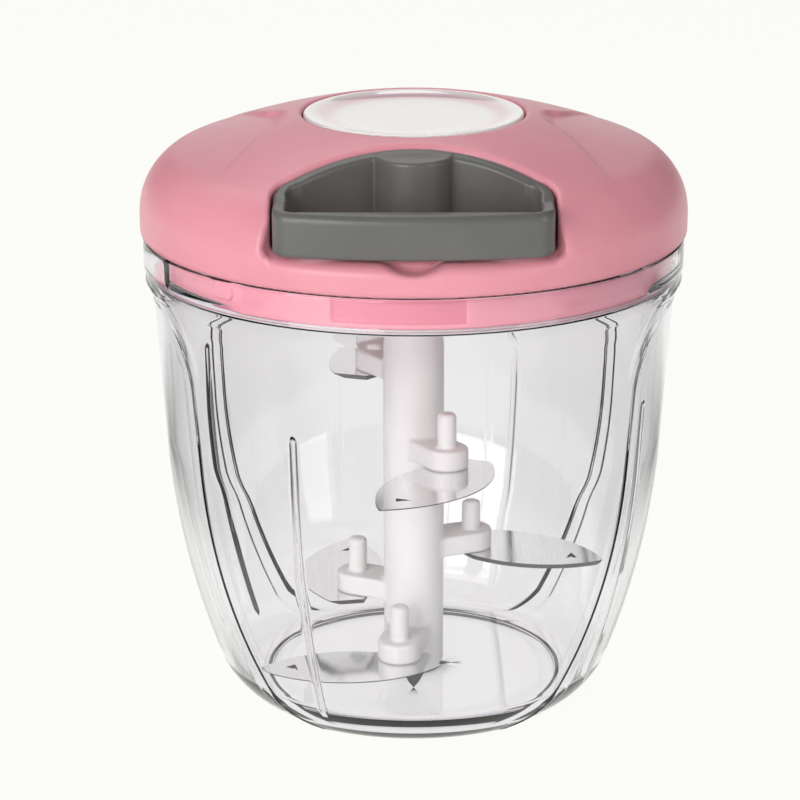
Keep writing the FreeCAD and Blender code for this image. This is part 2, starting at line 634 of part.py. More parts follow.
def add_ribs(body):
    """One upright rib with a rounded tip, inside the wall."""
    buried = "bowl_wall / 2"
    proud = "(bowl_wall + rib_depth)"
    sketch = new_sketch(body, "rib_sketch", "XZ_Plane", turn="rib_angle")
    wall_slope = "(neck_radius - shoulder_radius) / (bowl_height - rim_band - shoulder_height)"
    top_radius = "shoulder_radius + (rib_top - shoulder_height) * " + wall_slope
    corners = [
        ("knuckle_radius - " + proud, "floor_top + %s" % NIP),
        ("knuckle_radius - bowl_wall - rib_depth / 3", "floor_top + %s" % NIP),
        ("knuckle_radius - " + buried, "knuckle_height", ("left", "side_bend - " + buried)),
        ("shoulder_radius - " + buried, "shoulder_height"),
        (top_radius + " - " + buried, "rib_top"),
        (top_radius + " - bowl_wall - rib_depth / 3", "rib_top", ("left", "rib_depth")),
        (top_radius + " - " + proud, "rib_top - rib_depth"),
        ("shoulder_radius - " + proud, "shoulder_height", ("right", "side_bend - " + proud)),
        ("knuckle_radius - " + proud, "knuckle_height"),
    ]
    outline(sketch, corners)
    return pad(body, "rib", sketch, "rib_width", both=True)


def add_channel(body, name, back, top):
    """Bayonet channel in the rim's inner face, from one side of a lug back to an angle behind it."""
    feature = body.newObject("PartDesign::Groove", name)
    bottom = "lug_middle - lug_height / 2 - channel_gap"
    sketch = new_sketch(body, name + "_sketch", "XZ_Plane", turn="lug_angle - (%s)" % back)
    outline(sketch, [
        ("rim_inside - %s" % NIP, bottom),
        ("rim_inside + lug_depth + channel_gap", bottom),
        ("rim_inside + lug_depth + channel_gap", top),
        ("rim_inside - %s" % NIP, top),
    ])
    feature.Profile = sketch
    feature.ReferenceAxis = (sketch, ["V_Axis"])
    bind(feature, "Angle", "(%s) + (%s)" % (back, CHANNEL_HALF))
    return feature


def grip_cutter():
    """Arch-topped panels that thin the wall on both sides."""
    ring = new_body("grip_ring")
    outside = "cover_radius + %s" % OVERRUN
    below = "-%s" % OVERRUN
    corners = [("foot_radius - grip_depth", below)]
    corners += bowl_profile("grip_depth")
    corners[1] = ("foot_radius - grip_depth", ZERO, ("left", "knuckle_bend"))
    corners += [
        ("neck_radius - grip_depth", "bowl_height"),
        (outside, "bowl_height"),
        (outside, below),
    ]
    turned(ring, "grip_ring_turned", corners)
    panel = new_body("grip_panel")
    sketch = new_sketch(panel, "grip_panel_sketch", "YZ_Plane")
    outline(sketch, [
        ("-grip_width / 2", below),
        ("grip_width / 2", below),
        ("grip_width / 2", "grip_top - grip_corner", ("left", "grip_corner")),
        ("grip_width / 2 - grip_corner", "grip_top"),
        ("-grip_width / 2 + grip_corner", "grip_top", ("left", "grip_corner")),
        ("-grip_width / 2", "grip_top - grip_corner"),
    ])
    pad(panel, "grip_panel_pad", sketch, "2 * cover_radius + %s" % (2 * OVERRUN), both=True)
    tool = doc.addObject("Part::Common", "grip_tool")
    tool.Base = ring
    tool.Tool = panel
    return tool


def make_bowl_pin():
    """Steel pin that the blade shaft turns on."""
    body = new_body("bowl_pin")
    bottom = "floor_top - floor_thickness / 2 + fixed_gap"
    turned(body, "pin_turned", [
        (ZERO, bottom),
        ("pin_radius", bottom),
        ("pin_radius", "pin_top - pin_radius / 2"),
        ("pin_radius / 2", "pin_top"),
        (ZERO, "pin_top"),
    ])
    return keep(body)


def make_blade_shaft():
    """Moulded shaft with its finned drive head, bore and one pegged arm for each blade."""
    body = new_body("blade_shaft")
    bottom = "floor_top + body_gap"
    well_top = "floor_top + hub_height + body_gap"
    bore = "pin_radius + running_gap"
    turned(body, "shaft_turned", [
        ("hub_radius + body_gap", bottom),
        ("shaft_radius", bottom),
        ("shaft_radius", "shaft_top"),
        (ZERO, "shaft_top"),
        (ZERO, "pin_top + body_gap"),
        (bore, "pin_top + body_gap"),
        (bore, well_top),
        ("hub_radius + body_gap", well_top),
    ])
    core = circle(new_sketch(body, "head_sketch", "XY_Plane", "shaft_top"), ZERO, ZERO, "head_core")
    pad(body, "head_core_pad", core, "head_height")
    fin = new_sketch(body, "fin_sketch", "XY_Plane", "shaft_top")
    outline(fin, bar_corners("head_core / 2", "fin_reach", "fin_width"))
    fin_pad = pad(body, "head_fin", fin, "head_height")
    doc.recompute()
    ring_of(body, "head_fins", [fin_pad], "fin_count")
    for row in BLADES:
        add_arm(body, row[0])
    doc.recompute()
    return keep(body)


def bar_corners(inner, outer, width):
    """Corners of a bar that points away from the axis."""
    return [
        (inner, "-" + width + " / 2"),
        (outer, "-" + width + " / 2"),
        (outer, width + " / 2"),
        (inner, width + " / 2"),
    ]


def add_arm(body, name):
    """Arm over one blade, with its upright peg that also stakes the blade."""
    top_of_blade = name + "_height + blade_thickness / 2"
    arm_sketch = new_sketch(body, name + "_arm_sketch", "XY_Plane", top_of_blade, turn=name + "_angle")
    outline(arm_sketch, [
        ("shaft_radius / 2", "-arm_width / 2"),
        ("peg_distance", "-arm_width / 2", ("half", "left", "X")),
        ("peg_distance", "arm_width / 2"),
        ("shaft_radius / 2", "arm_width / 2"),
    ])
    pad(body, name + "_arm", arm_sketch, "arm_height")
    peg_bottom = name + "_height - blade_thickness / 2 - stake_head"
    peg_sketch = new_sketch(body, name + "_peg_sketch", "XY_Plane", peg_bottom, turn=name + "_angle")
    circle(peg_sketch, "peg_distance", ZERO, "peg_radius")
    peg = pad(body, name + "_peg", peg_sketch, "stake_head + blade_thickness + arm_height + peg_height")
    doc.recompute()
    peg_top = number(top_of_blade + " + arm_height + peg_height")
    names = edges_near(peg, lambda x, y, z: abs(z - peg_top) < SAME)
    rounded(body, name + "_peg_round", peg, names, "peg_round")


def make_blade(name):
    """Sickle blade in its arm's frame, then turned and lifted to its place."""
    body = new_body(name)
    wall_here = ("(knuckle_radius - bowl_wall - rib_depth + (%s_height - knuckle_height)"
                 " * (shoulder_radius - knuckle_radius) / (shoulder_height - knuckle_height))" % name)
    reach = "min(blade_reach; %s - blade_clearance)" % wall_here
    sweep = name + "_sweep"
    sketch = new_sketch(body, name + "_sketch", "XY_Plane", "-blade_thickness / 2")
    outline(sketch, [
        ("blade_inner_x", "blade_inner_y"),
        ("blade_root_x", "-blade_root_y", ("left", "back_bend")),
        ("%s * cos(%s)" % (reach, sweep), "-%s * sin(%s)" % (reach, sweep), ("left", "edge_bend")),
        ("blade_heel_x", "blade_heel_y"),
    ])
    circle(sketch, "peg_distance", ZERO, "peg_radius + body_gap / 3")
    plate = pad(body, name + "_plate", sketch, "blade_thickness")
    doc.recompute()
    cutting_edge = arc_edges(plate, "edge_bend", lambda x, y, z: z < 0)
    bevel = body.newObject("PartDesign::Chamfer", name + "_bevel")
    bevel.Base = (plate, cutting_edge)
    bevel.ChamferType = "Two distances"
    bind(bevel, "Size", "bevel_height")
    bind(bevel, "Size2", "bevel_width")
    doc.recompute()
    add_notch(body, name, reach, sweep)
    bind(body, "Placement.Base.z", name + "_height")
    body.Placement.Rotation = FreeCAD.Rotation(FreeCAD.Vector(0, 0, 1), 1.0)
    bind(body, "Placement.Rotation.Angle", name + "_angle")
    return keep(body)


def add_notch(body, name, reach, sweep):
    """Small notch in the blade's back, short of the tip."""
    sketch = new_sketch(body, name + "_notch_sketch", "XY_Plane", "-blade_thickness",
                        turn="360 - notch_turn * " + sweep)
    place = "%s * notch_place" % reach
    outline(sketch, [
        (place, "notch_depth"),
        (place + " - notch_width / 2", "-notch_depth"),
        (place + " + notch_width / 2", "-notch_depth"),
    ])
    return pocket(body, name + "_notch", sketch, "2 * blade_thickness", forward=True)


def crown_corners(drop):
    """Crown and shoulder of the lid in section, lowered by a formula."""
    return [
        ("cover_radius", "cover_straight_top", ("left", "cover_bend")),
        ("cover_brow", "brow_height - " + drop, ("left", "crown_bend")),
        ("crown_edge", "crown_height - " + drop),
    ]


def handle_corners(grow, open_front=False):
    """Outline of the handle seen from above, grown by a formula."""
    side = "(handle_half + " + grow + ")"
    corner_x = "(handle_back_x + %s * %s)" % (grow, GROW_X)
    corner_y = "-handle_back_y + %s * %s" % (grow, GROW_Y)
    back = [
        (side, "-handle_side_back", ("left", "handle_shoulder + " + grow)),
        (corner_x, corner_y, ("left", "handle_back_bend + " + grow)),
        ("-" + corner_x, corner_y, ("left", "handle_shoulder + " + grow)),
        ("-" + side, "-handle_side_back"),
    ]
    if open_front:
        front = "-cover_radius - %s" % OVERRUN
        return [("-" + side, front), (side, front)] + back
    front_bend = "(handle_corner_x ^ 2 / (2 * (handle_front - handle_corner_y)))"
    return [
        ("-handle_corner_x", "-handle_corner_y", ("left", front_bend)),
        ("handle_corner_x", "-handle_corner_y", ("left", "handle_corner")),
        ("handle_half", "-handle_side_front"),
    ] + back + [("-handle_half", "-handle_side_front", ("left", "handle_corner"))]


def make_top_cover():
    """Domed cover with the cap's seat, handle recess, palm scoops and screw bosses."""
    dome = new_body("cover_dome")
    turned(dome, "dome_turned", [
        (ZERO, "cover_bottom"),
        ("cover_radius", "cover_bottom"),
    ] + crown_corners("0") + [
        ("crown_edge", "seat_height"),
        ("axle_head + fixed_gap", "seat_height"),
        ("axle_head + fixed_gap", "seat_height - axle_head_height"),
        ("axle_radius + fixed_gap", "seat_height - axle_head_height"),
        ("axle_radius + fixed_gap", "crown_under - %s" % NIP),
        (ZERO, "crown_under - %s" % NIP),
    ])
    recess = new_sketch(dome, "recess_sketch", "XY_Plane", "recess_floor")
    outline(recess, handle_corners("recess_gap", open_front=True))
    pocket(dome, "handle_recess", recess, "crown_height", forward=True)
    add_mouth_bevels(dome)
    notch = new_sketch(dome, "finger_notch_sketch", "XZ_Plane", "cover_radius - handle_wall * 2")
    circle(notch, ZERO, "notch_centre", "notch_radius")
    pocket(dome, "finger_notch", notch, "3 * handle_wall", forward=True)
    doc.recompute()
    cutters = [cover_cavity()]
    for turn in range(int(number("screw_count"))):
        angle = "(screw_angle + %d * 360 / screw_count)" % turn
        cutters.append(cylinder("pilot_%d" % turn, "screw_radius", "screw_length + %s" % NIP,
                                "screw_circle * cos(%s)" % angle, "screw_circle * sin(%s)" % angle,
                                "plate_bottom"))
    cutters += [palm_scoops(), cord_guide()]
    return keep(cut_from("top_cover", dome, fused("cover_cutters", cutters)), "top_cover")


def add_mouth_bevels(dome):
    """Bevels where the recess opens in the side of the cover: one below and one at each end."""
    side = "(handle_half + recess_gap)"
    half_angle = "(asin(%s / cover_radius) / 1 deg)" % side
    below = new_sketch(dome, "lower_bevel_sketch", "XZ_Plane", turn="270 - " + half_angle)
    outline(below, [
        ("cover_radius - mouth_bevel", "recess_floor + bevel_lip"),
        ("cover_radius - mouth_bevel", "recess_floor"),
        ("cover_radius + mouth_bevel", "recess_floor - bevel_fall"),
        ("cover_radius + mouth_bevel", "recess_floor + bevel_lip"),
    ])
    groove = dome.newObject("PartDesign::Groove", "lower_bevel")
    groove.Profile = below
    groove.ReferenceAxis = (below, ["V_Axis"])
    bind(groove, "Angle", "2 * " + half_angle)
    inner = "(sqrt(cover_radius ^ 2 - %s ^ 2) - bevel_start)" % side
    front = "-cover_radius - %s" % OVERRUN
    for name, sign in (("left_bevel", "-"), ("right_bevel", "")):
        sketch = new_sketch(dome, name + "_sketch", "XY_Plane", "recess_floor")
        corners = [
            (sign + "(%s - body_gap / 3)" % side, "-" + inner),
            (sign + "(%s - body_gap / 3)" % side, front),
            (sign + "(%s + 2 * mouth_bevel)" % side, front),
            (sign + "(%s + 2 * mouth_bevel)" % side, "-%s - bevel_run" % inner),
        ]
        outline(sketch, corners)
        pocket(dome, name, sketch, "crown_height", forward=True)


def cover_cavity():
    """Hollow of the cover, less the recess case and the screw bosses that stand in it."""
    cavity = new_body("cover_cavity")
    inside = "(cover_radius - cover_wall)"
    turned(cavity, "cavity_turned", [
        (ZERO, "cover_bottom - %s" % OVERRUN),
        (inside, "cover_bottom - %s" % OVERRUN),
        (inside, "cover_straight_top", ("left", "cavity_bend")),
        ("cavity_flat", "crown_under"),
        (ZERO, "crown_under"),
    ])
    case = new_body("recess_case")
    sketch = new_sketch(case, "recess_case_sketch", "XY_Plane", "recess_floor - recess_under")
    outline(sketch, handle_corners("(recess_gap + recess_wall)", open_front=True))
    pad(case, "recess_case_pad", sketch, "crown_height")
    standing = [case]
    for turn in range(int(number("screw_count"))):
        angle = "(screw_angle + %d * 360 / screw_count)" % turn
        standing.append(cylinder("screw_boss_%d" % turn, "boss_outer", "crown_height - plate_top",
                                 "screw_circle * cos(%s)" % angle, "screw_circle * sin(%s)" % angle,
                                 "plate_top"))
    return cut_from("hollow", cavity, fused("standing", standing))


def palm_scoops():
    """Tool for the two palm scoops: a ring over their floor, kept where their outlines are."""
    ring = new_body("scoop_ring")
    turned(ring, "scoop_ring_turned", [
        ("scoop_start", "crown_height - scoop_drop"),
        ("scoop_start + scoop_step", "crown_height - scoop_drop - scoop_step_drop"),
        ("cover_brow", "brow_height + scoop_rise"),
        ("cover_brow", "crown_height + %s" % NIP),
        ("scoop_start", "crown_height + %s" % NIP),
    ], turn="scoop_seam")
    outlines = [scoop_outline("right", ""), scoop_outline("left", "-")]
    tool = doc.addObject("Part::Common", "scoop_tool")
    tool.Base = ring
    tool.Tool = fused("scoop_outlines", outlines)
    return tool


def scoop_outline(name, sign):
    """Prism of one scoop's outline seen from above."""
    body = new_body("scoop_" + name)
    sketch = new_sketch(body, "scoop_%s_sketch" % name, "XY_Plane", "seat_height")
    neck = sign + "scoop_neck"
    wide = sign + "(scoop_neck + scoop_flare)"
    far = sign + "(cover_radius + %s)" % OVERRUN
    turn = "left" if sign == "" else "right"
    outline(sketch, [
        (neck, "scoop_nose_half", (turn, "scoop_nose")),
        (neck, "-scoop_nose_half"),
        (wide, "-scoop_half"),
        (far, "-scoop_half"),
        (far, "scoop_half"),
        (wide, "scoop_half"),
    ])
    pad(body, "scoop_%s_pad" % name, sketch, "2 * cover_radius", both=True)
    return body


def cord_guide():
    """Hole through the recess wall for the cord."""
    guide = doc.addObject("Part::Cylinder", "cord_guide")
    bind(guide, "Radius", "cord_hole")
    bind(guide, "Height", "2 * recess_wall + 2 * recess_gap")
    guide.Placement.Rotation = FreeCAD.Rotation(FreeCAD.Vector(1, 0, 0), 90)
    back = "(handle_back_y - handle_back_bend + sqrt(handle_back_bend ^ 2 - handle_back_x ^ 2))"
    bind(guide, "Placement.Base.y", "-%s + recess_gap + 1.5 * recess_wall" % back)
    bind(guide, "Placement.Base.z", "cord_height")
    return guide


def make_centre_cap():
    """Glossy dished disc in the crown."""
    body = new_body("centre_cap")
    edge = "(crown_edge - cap_gap)"
    dish_radius = "(((%s - 2 * cap_round) ^ 2 + cap_dish ^ 2) / (2 * cap_dish))" % edge
    turned(body, "cap_turned", [
        (ZERO, "seat_height"),
        (edge, "seat_height"),
        (edge, "cap_edge - cap_round", ("left", "cap_round")),
        (edge + " - cap_round", "cap_edge"),
        (edge + " - 2 * cap_round", "cap_edge", ("right", dish_radius)),
        (ZERO, "cap_edge - cap_dish"),
    ])
    return keep(body)


def make_lid_base():
    """Plug of the lid: skirt with bayonet lugs and inset panels, collar and floor plate."""
    body = new_body("lid_base")
    tongue_outer = "(seal_inner + tongue_inset + tongue_width + running_gap)"
    tongue_inner = "(seal_inner + tongue_inset - running_gap)"
    turned(body, "base_turned", [
        ("stem_radius + body_gap", "plate_bottom"),
        ("skirt_inner", "plate_bottom"),
        ("skirt_inner", "skirt_bottom"),
        (tongue_inner, "skirt_bottom"),
        (tongue_inner, "skirt_bottom + tongue_height + running_gap"),
        (tongue_outer, "skirt_bottom + tongue_height + running_gap"),
        (tongue_outer, "skirt_bottom"),
        ("skirt_radius", "skirt_bottom"),
        ("skirt_radius", "cover_bottom"),
        ("spigot_radius", "cover_bottom"),
        ("spigot_radius", "cover_bottom + spigot_height"),
        ("spigot_radius - cover_wall", "cover_bottom + spigot_height"),
        ("skirt_inner", "cover_bottom"),
        ("skirt_inner", "plate_top"),
        ("stem_radius + body_gap", "plate_top"),
    ])
    lug = add_lugs(body)
    panel = add_panel(body)
    holes = new_sketch(body, "screw_hole_sketch", "XY_Plane", "plate_bottom")
    circle(holes, ZERO, "screw_circle", "screw_radius + body_gap")
    screw_hole = pocket(body, "screw_hole", holes, "2 * plate_thickness", forward=True)
    doc.recompute()
    ring_of(body, "lugs", [lug], "lug_count")
    ring_of(body, "panels", [panel], "lug_count")
    ring_of(body, "screw_holes", [screw_hole], "screw_count")
    return keep(body)


def add_lugs(body):
    """One oval bayonet lug on the plug's outer face."""
    sketch = new_sketch(body, "lug_sketch", "XZ_Plane", turn="lug_angle + 90")
    bind(sketch, "AttachmentOffset.Base.x", "lug_start * cos(lug_angle)")
    bind(sketch, "AttachmentOffset.Base.z", "-lug_start * sin(lug_angle)")
    flat = "(lug_width - lug_height) / 2"
    outline(sketch, [
        ("-" + flat, "lug_middle - lug_height / 2"),
        (flat, "lug_middle - lug_height / 2", ("half", "left", "X")),
        (flat, "lug_middle + lug_height / 2"),
        ("-" + flat, "lug_middle + lug_height / 2", ("half", "left", "X")),
    ])
    return pad(body, "lug", sketch, "rim_inside + lug_depth - lug_start")


def add_panel(body):
    """Shallow inset panel on the plug between two lugs."""
    feature = body.newObject("PartDesign::Groove", "panel")
    sketch = new_sketch(body, "panel_sketch", "XZ_Plane", turn="lug_angle + panel_place - panel_angle / 2")
    outline(sketch, [
        ("skirt_radius - panel_depth", "skirt_bottom + panel_margin"),
        ("skirt_radius + %s" % NIP, "skirt_bottom + panel_margin"),
        ("skirt_radius + %s" % NIP, "cover_bottom - panel_top_margin"),
        ("skirt_radius - panel_depth", "cover_bottom - panel_top_margin"),
    ])
    feature.Profile = sketch
    feature.ReferenceAxis = (sketch, ["V_Axis"])
    bind(feature, "Angle", "panel_angle")
    return feature


def make_seal_ring():
    """Silicone ring that sits on the bowl's ledge, with a tongue in the plug."""
    body = new_body("seal_ring")
    inner = "(seal_inner + tongue_inset)"
    turned(body, "seal_turned", [
        ("seal_inner", "ledge_top"),
        ("seal_outer", "ledge_top"),
        ("seal_outer", "skirt_bottom"),
        (inner + " + tongue_width", "skirt_bottom"),
        (inner + " + tongue_width", "skirt_bottom + tongue_height"),
        (inner, "skirt_bottom + tongue_height"),
        (inner, "skirt_bottom"),
        ("seal_inner", "skirt_bottom"),
    ])
    return keep(body)


def make_handle():
    """D-shaped pull ring whose top follows the crown, with the knot's boss."""
    body = new_body("handle")
    block = new_sketch(body, "handle_sketch", "XY_Plane", "handle_bottom")
    outline(block, handle_corners("0"))
    pad(body, "handle_block", block, "crown_height - handle_bottom")
    turned(body, "handle_top", [
        ("crown_edge / 2", "crown_height - handle_inset"),
        ("crown_edge", "crown_height - handle_inset", ("right", "crown_bend")),
        ("cover_brow", "brow_height - handle_inset"),
        ("cover_brow + bar_shelf", "handle_bar_top"),
        ("cover_radius + 2 * %s" % OVERRUN, "handle_bar_top"),
        ("cover_radius + 2 * %s" % OVERRUN, "crown_height + %s" % NIP),
        ("crown_edge / 2", "crown_height + %s" % NIP),
    ], cut=True)
    opening = new_sketch(body, "finger_opening_sketch", "XY_Plane", "handle_bottom - %s" % NIP)
    outline(opening, opening_corners())
    opening_cut = pocket(body, "finger_opening", opening, "crown_height", forward=True)
    doc.recompute()
    boss = new_sketch(body, "boss_sketch", "XY_Plane", "handle_bottom")
    boss_back = "-boss_place - handle_wall / 2"
    outline(boss, [
        ("-boss_radius", boss_back, ("half", "left", "Y")),
        ("boss_radius", boss_back),
    ])
    pad(body, "knot_boss", boss, "crown_height - boss_drop - handle_bottom")
    well = new_sketch(body, "knot_well_sketch", "XY_Plane", "handle_bottom - %s" % NIP)
    circle(well, ZERO, "-knot_place", "knot_radius + body_gap")
    well_depth = "cord_height - handle_bottom + %s + knot_radius + body_gap" % NIP
    pocket(body, "knot_well", well, well_depth, forward=True)
    bore = new_sketch(body, "cord_bore_sketch", "XZ_Plane", "knot_place")
    circle(bore, ZERO, "cord_height", "cord_radius + body_gap")
    bore_cut = pocket(body, "cord_bore", bore, "knot_place", forward=False)
    doc.recompute()
    bar_top = number("handle_bar_top")
    front = number("handle_corner_y - handle_bar / 4")
    names = edges_near(bore_cut, lambda x, y, z: abs(z - bar_top) < SAME and y < -front)
    rounded(body, "bar_round", bore_cut, names, "handle_round")
    return keep(body)


def opening_corners():
    """Finger opening of the handle, inside its wall and bar."""
    side = "(handle_half - handle_wall)"
    front = "-(handle_front - handle_bar)"
    return [
        ("-" + side + " + opening_corner", front + " + opening_corner / 2"),
        (side + " - opening_corner", front + " + opening_corner / 2", ("left", "opening_corner")),
        (side, front + " + opening_corner * 1.5"),
        (side, "-handle_side_back", ("left", "handle_shoulder - handle_wall")),
        ("handle_back_x - handle_wall * %s" % GROW_X, "-handle_back_y - handle_wall * %s" % GROW_Y,
         ("left", "handle_back_bend - handle_wall")),
        ("-handle_back_x + handle_wall * %s" % GROW_X, "-handle_back_y - handle_wall * %s" % GROW_Y,
         ("left", "handle_shoulder - handle_wall")),
        ("-" + side, "-handle_side_back"),
        ("-" + side, front + " + opening_corner * 1.5", ("left", "opening_corner")),
    ]


def make_cord():
    """Cord from the drum through its guide to the knot, the winding on the drum and the knot."""
    clear = "(winding_radius + body_gap + cord_radius)"
    lean = "(acos(%s / cord_turn_place) / 1 deg)" % clear
    lead = new_body("cord_lead")
    path = new_sketch(lead, "cord_path", "XY_Plane", "cord_height")
    start = ("-%s * sin(%s)" % (clear, lean), "-%s * cos(%s)" % (clear, lean))
    turn = "(90 - %s)" % lean
    setback = "(cord_turn * tan(%s / 2))" % turn
    bend_start = ("-%s * sin(%s)" % (setback, turn), "-cord_turn_place + %s * cos(%s)" % (setback, turn))
    bend_end = (ZERO, "-cord_turn_place - " + setback)
    last = (ZERO, "-knot_place + knot_radius + body_gap")
    open_path(path, [start, bend_start + (("right", "cord_turn"),), bend_end, last])
    section = new_sketch(lead, "cord_section", "XZ_Plane", "knot_place - knot_radius - body_gap")
    circle(section, ZERO, "cord_height", "cord_radius")
    pipe = lead.newObject("PartDesign::AdditivePipe", "cord_pipe")
    pipe.Profile = section
    pipe.Spine = path
    keep(lead)
    winding = new_body("cord_winding")
    low = "groove_bottom + fixed_gap"
    high = "groove_top - fixed_gap"
    turned(winding, "winding_turned", [
        ("drum_radius + fixed_gap", low),
        ("winding_radius - cord_radius", low, ("half", "left", "X")),
        ("winding_radius - cord_radius", "cord_height", ("half", "left", "X")),
        ("winding_radius - cord_radius", high),
        ("drum_radius + fixed_gap", high),
    ])
    keep(winding)
    keep(make_knot())


def open_path(sketch, points):
    """Open path through points, where a bend describes the arc that follows its point."""
    places = [FreeCAD.Vector(number(point[0]), number(point[1]), 0) for point in points]
    last = None
    for index in range(len(points) - 1):
        start, end = places[index], places[index + 1]
        bend = points[index][2] if len(points[index]) > 2 else None
        if bend is None:
            row = sketch.addGeometry(Part.LineSegment(start, end))
            first, final = 1, 2
        else:
            left = bend[0] == "left"
            row = sketch.addGeometry(arc_between(start, end, number(bend[1]), left))
            first, final = (1, 2) if left else (2, 1)
            radius = sketch.addConstraint(Sketcher.Constraint("Radius", row, number(bend[1])))
            bind(sketch, "Constraints[%d]" % radius, bend[1])
        fix_point(sketch, row, first, points[index][0], points[index][1])
        if last is not None:
            sketch.addConstraint(Sketcher.Constraint("Coincident", last[0], last[1], row, first))
        last = (row, final)
    fix_point(sketch, last[0], last[1], points[-1][0], points[-1][1])


def make_knot():
    """Round knot in the handle's boss."""
    body = new_body("cord_knot")
    sketch = new_sketch(body, "knot_sketch", "XY_Plane", "cord_height")
    outline(sketch, [
        (ZERO, "-knot_place - knot_radius", ("half", "left", "X")),
        (ZERO, "-knot_place + knot_radius"),
    ])
    feature = body.newObject("PartDesign::Revolution", "knot_turned")
    feature.Profile = sketch
    feature.ReferenceAxis = (sketch, ["V_Axis"])
    feature.Angle = 360
    return body


def make_spool():
    """Cord drum with its flanges and the cup for the recoil spring."""
    body = new_body("spool")
    bore = "axle_radius + running_gap"
    turned(body, "spool_turned", [
        (bore, "cup_top"),
        ("flange_radius - cup_wall", "cup_top"),
        ("flange_radius - cup_wall", "cup_bottom"),
        ("flange_radius", "cup_bottom"),
        ("flange_radius", "groove_bottom"),
        ("drum_radius", "groove_bottom"),
        ("drum_radius", "groove_top"),
        ("flange_radius", "groove_top"),
        ("flange_radius", "spool_top"),
        (bore, "spool_top"),
    ])
    return keep(body)


def make_recoil_spring():
    """Flat spiral strip of half turns whose centres change sides, so that each joins the next smoothly."""
    strip = number("spring_strip")
    inner = number("spring_inner")
    step = number("spring_pitch") / 2
    bottom = number("cup_bottom") + number("body_gap")
    halves = int(number("spring_turns")) * 2
    edges = []
    for offset in (0.0, strip):
        chain = []
        for half in range(halves):
            side = 1 if half % 2 == 0 else -1
            radius = inner + half * step + offset
            centre_x = -side * step / 2
            start = FreeCAD.Vector(centre_x + side * radius, 0, bottom)
            crest = FreeCAD.Vector(centre_x, side * radius, bottom)
            end = FreeCAD.Vector(centre_x - side * radius, 0, bottom)
            chain.append(Part.Arc(start, crest, end).toShape())
        edges.append(chain)
    inner_chain, outer_chain = edges
    caps = []
    for place in (0, -1):
        ends = []
        for chain in (inner_chain, outer_chain):
            vertexes = chain[place].Vertexes
            ends.append(vertexes[0 if place == 0 else -1].Point)
        caps.append(Part.LineSegment(*ends).toShape())
    wire = Part.Wire(Part.__sortEdges__(inner_chain + [caps[1]] + outer_chain + [caps[0]]))
    solid = Part.Face(wire).extrude(FreeCAD.Vector(0, 0, number("spring_height")))
    feature = doc.addObject("Part::Feature", "recoil_spring")
    feature.Shape = solid
    return keep(feature, "recoil_spring")


def make_spring_cover():
    """Disc under the spring's cup, with the pins of the two pawls."""
    body = new_body("spring_cover")
    turned(body, "spring_cover_turned", [
        ("axle_radius + body_gap", "cup_bottom - spring_cover_thickness"),
        ("flange_radius", "cup_bottom - spring_cover_thickness"),
        ("flange_radius", "cup_bottom"),
        ("axle_radius + body_gap", "cup_bottom"),
    ])
    sketch = new_sketch(body, "pawl_pin_sketch", "XY_Plane",
                        "pawl_bottom - body_gap")
    circle(sketch, "pawl_pivot", ZERO, "pawl_pin")
    pin = pad(body, "pawl_pin_pad", sketch, "pawl_height + 2 * body_gap + spring_cover_thickness / 2")
    doc.recompute()
    ring_of(body, "pawl_pins", [pin], "2")
    return keep(body)


def make_pawls():
    """Two pawls, each an eye and an arm whose tip rests in a ratchet tooth."""
    for place, name in enumerate(("pawl_1", "pawl_2")):
        body = new_body(name)
        sketch = new_sketch(body, name + "_sketch", "XY_Plane",
                            "pawl_bottom")
        outline(sketch, [
            ("pawl_pivot - pawl_eye", ZERO, ("half", "left", "Y")),
            ("pawl_pivot + pawl_eye", ZERO),
            ("ratchet_inner - pawl_tip_gap", "pawl_tip_low"),
            ("ratchet_inner - pawl_tip_gap - pawl_tip_slant", "pawl_tip_high"),
        ])
        circle(sketch, "pawl_pivot", ZERO, "pawl_pin + running_gap")
        pad(body, name + "_pad", sketch, "pawl_height")
        body.Placement.Rotation = FreeCAD.Rotation(FreeCAD.Vector(0, 0, 1), 180.0 * place)
        keep(body)


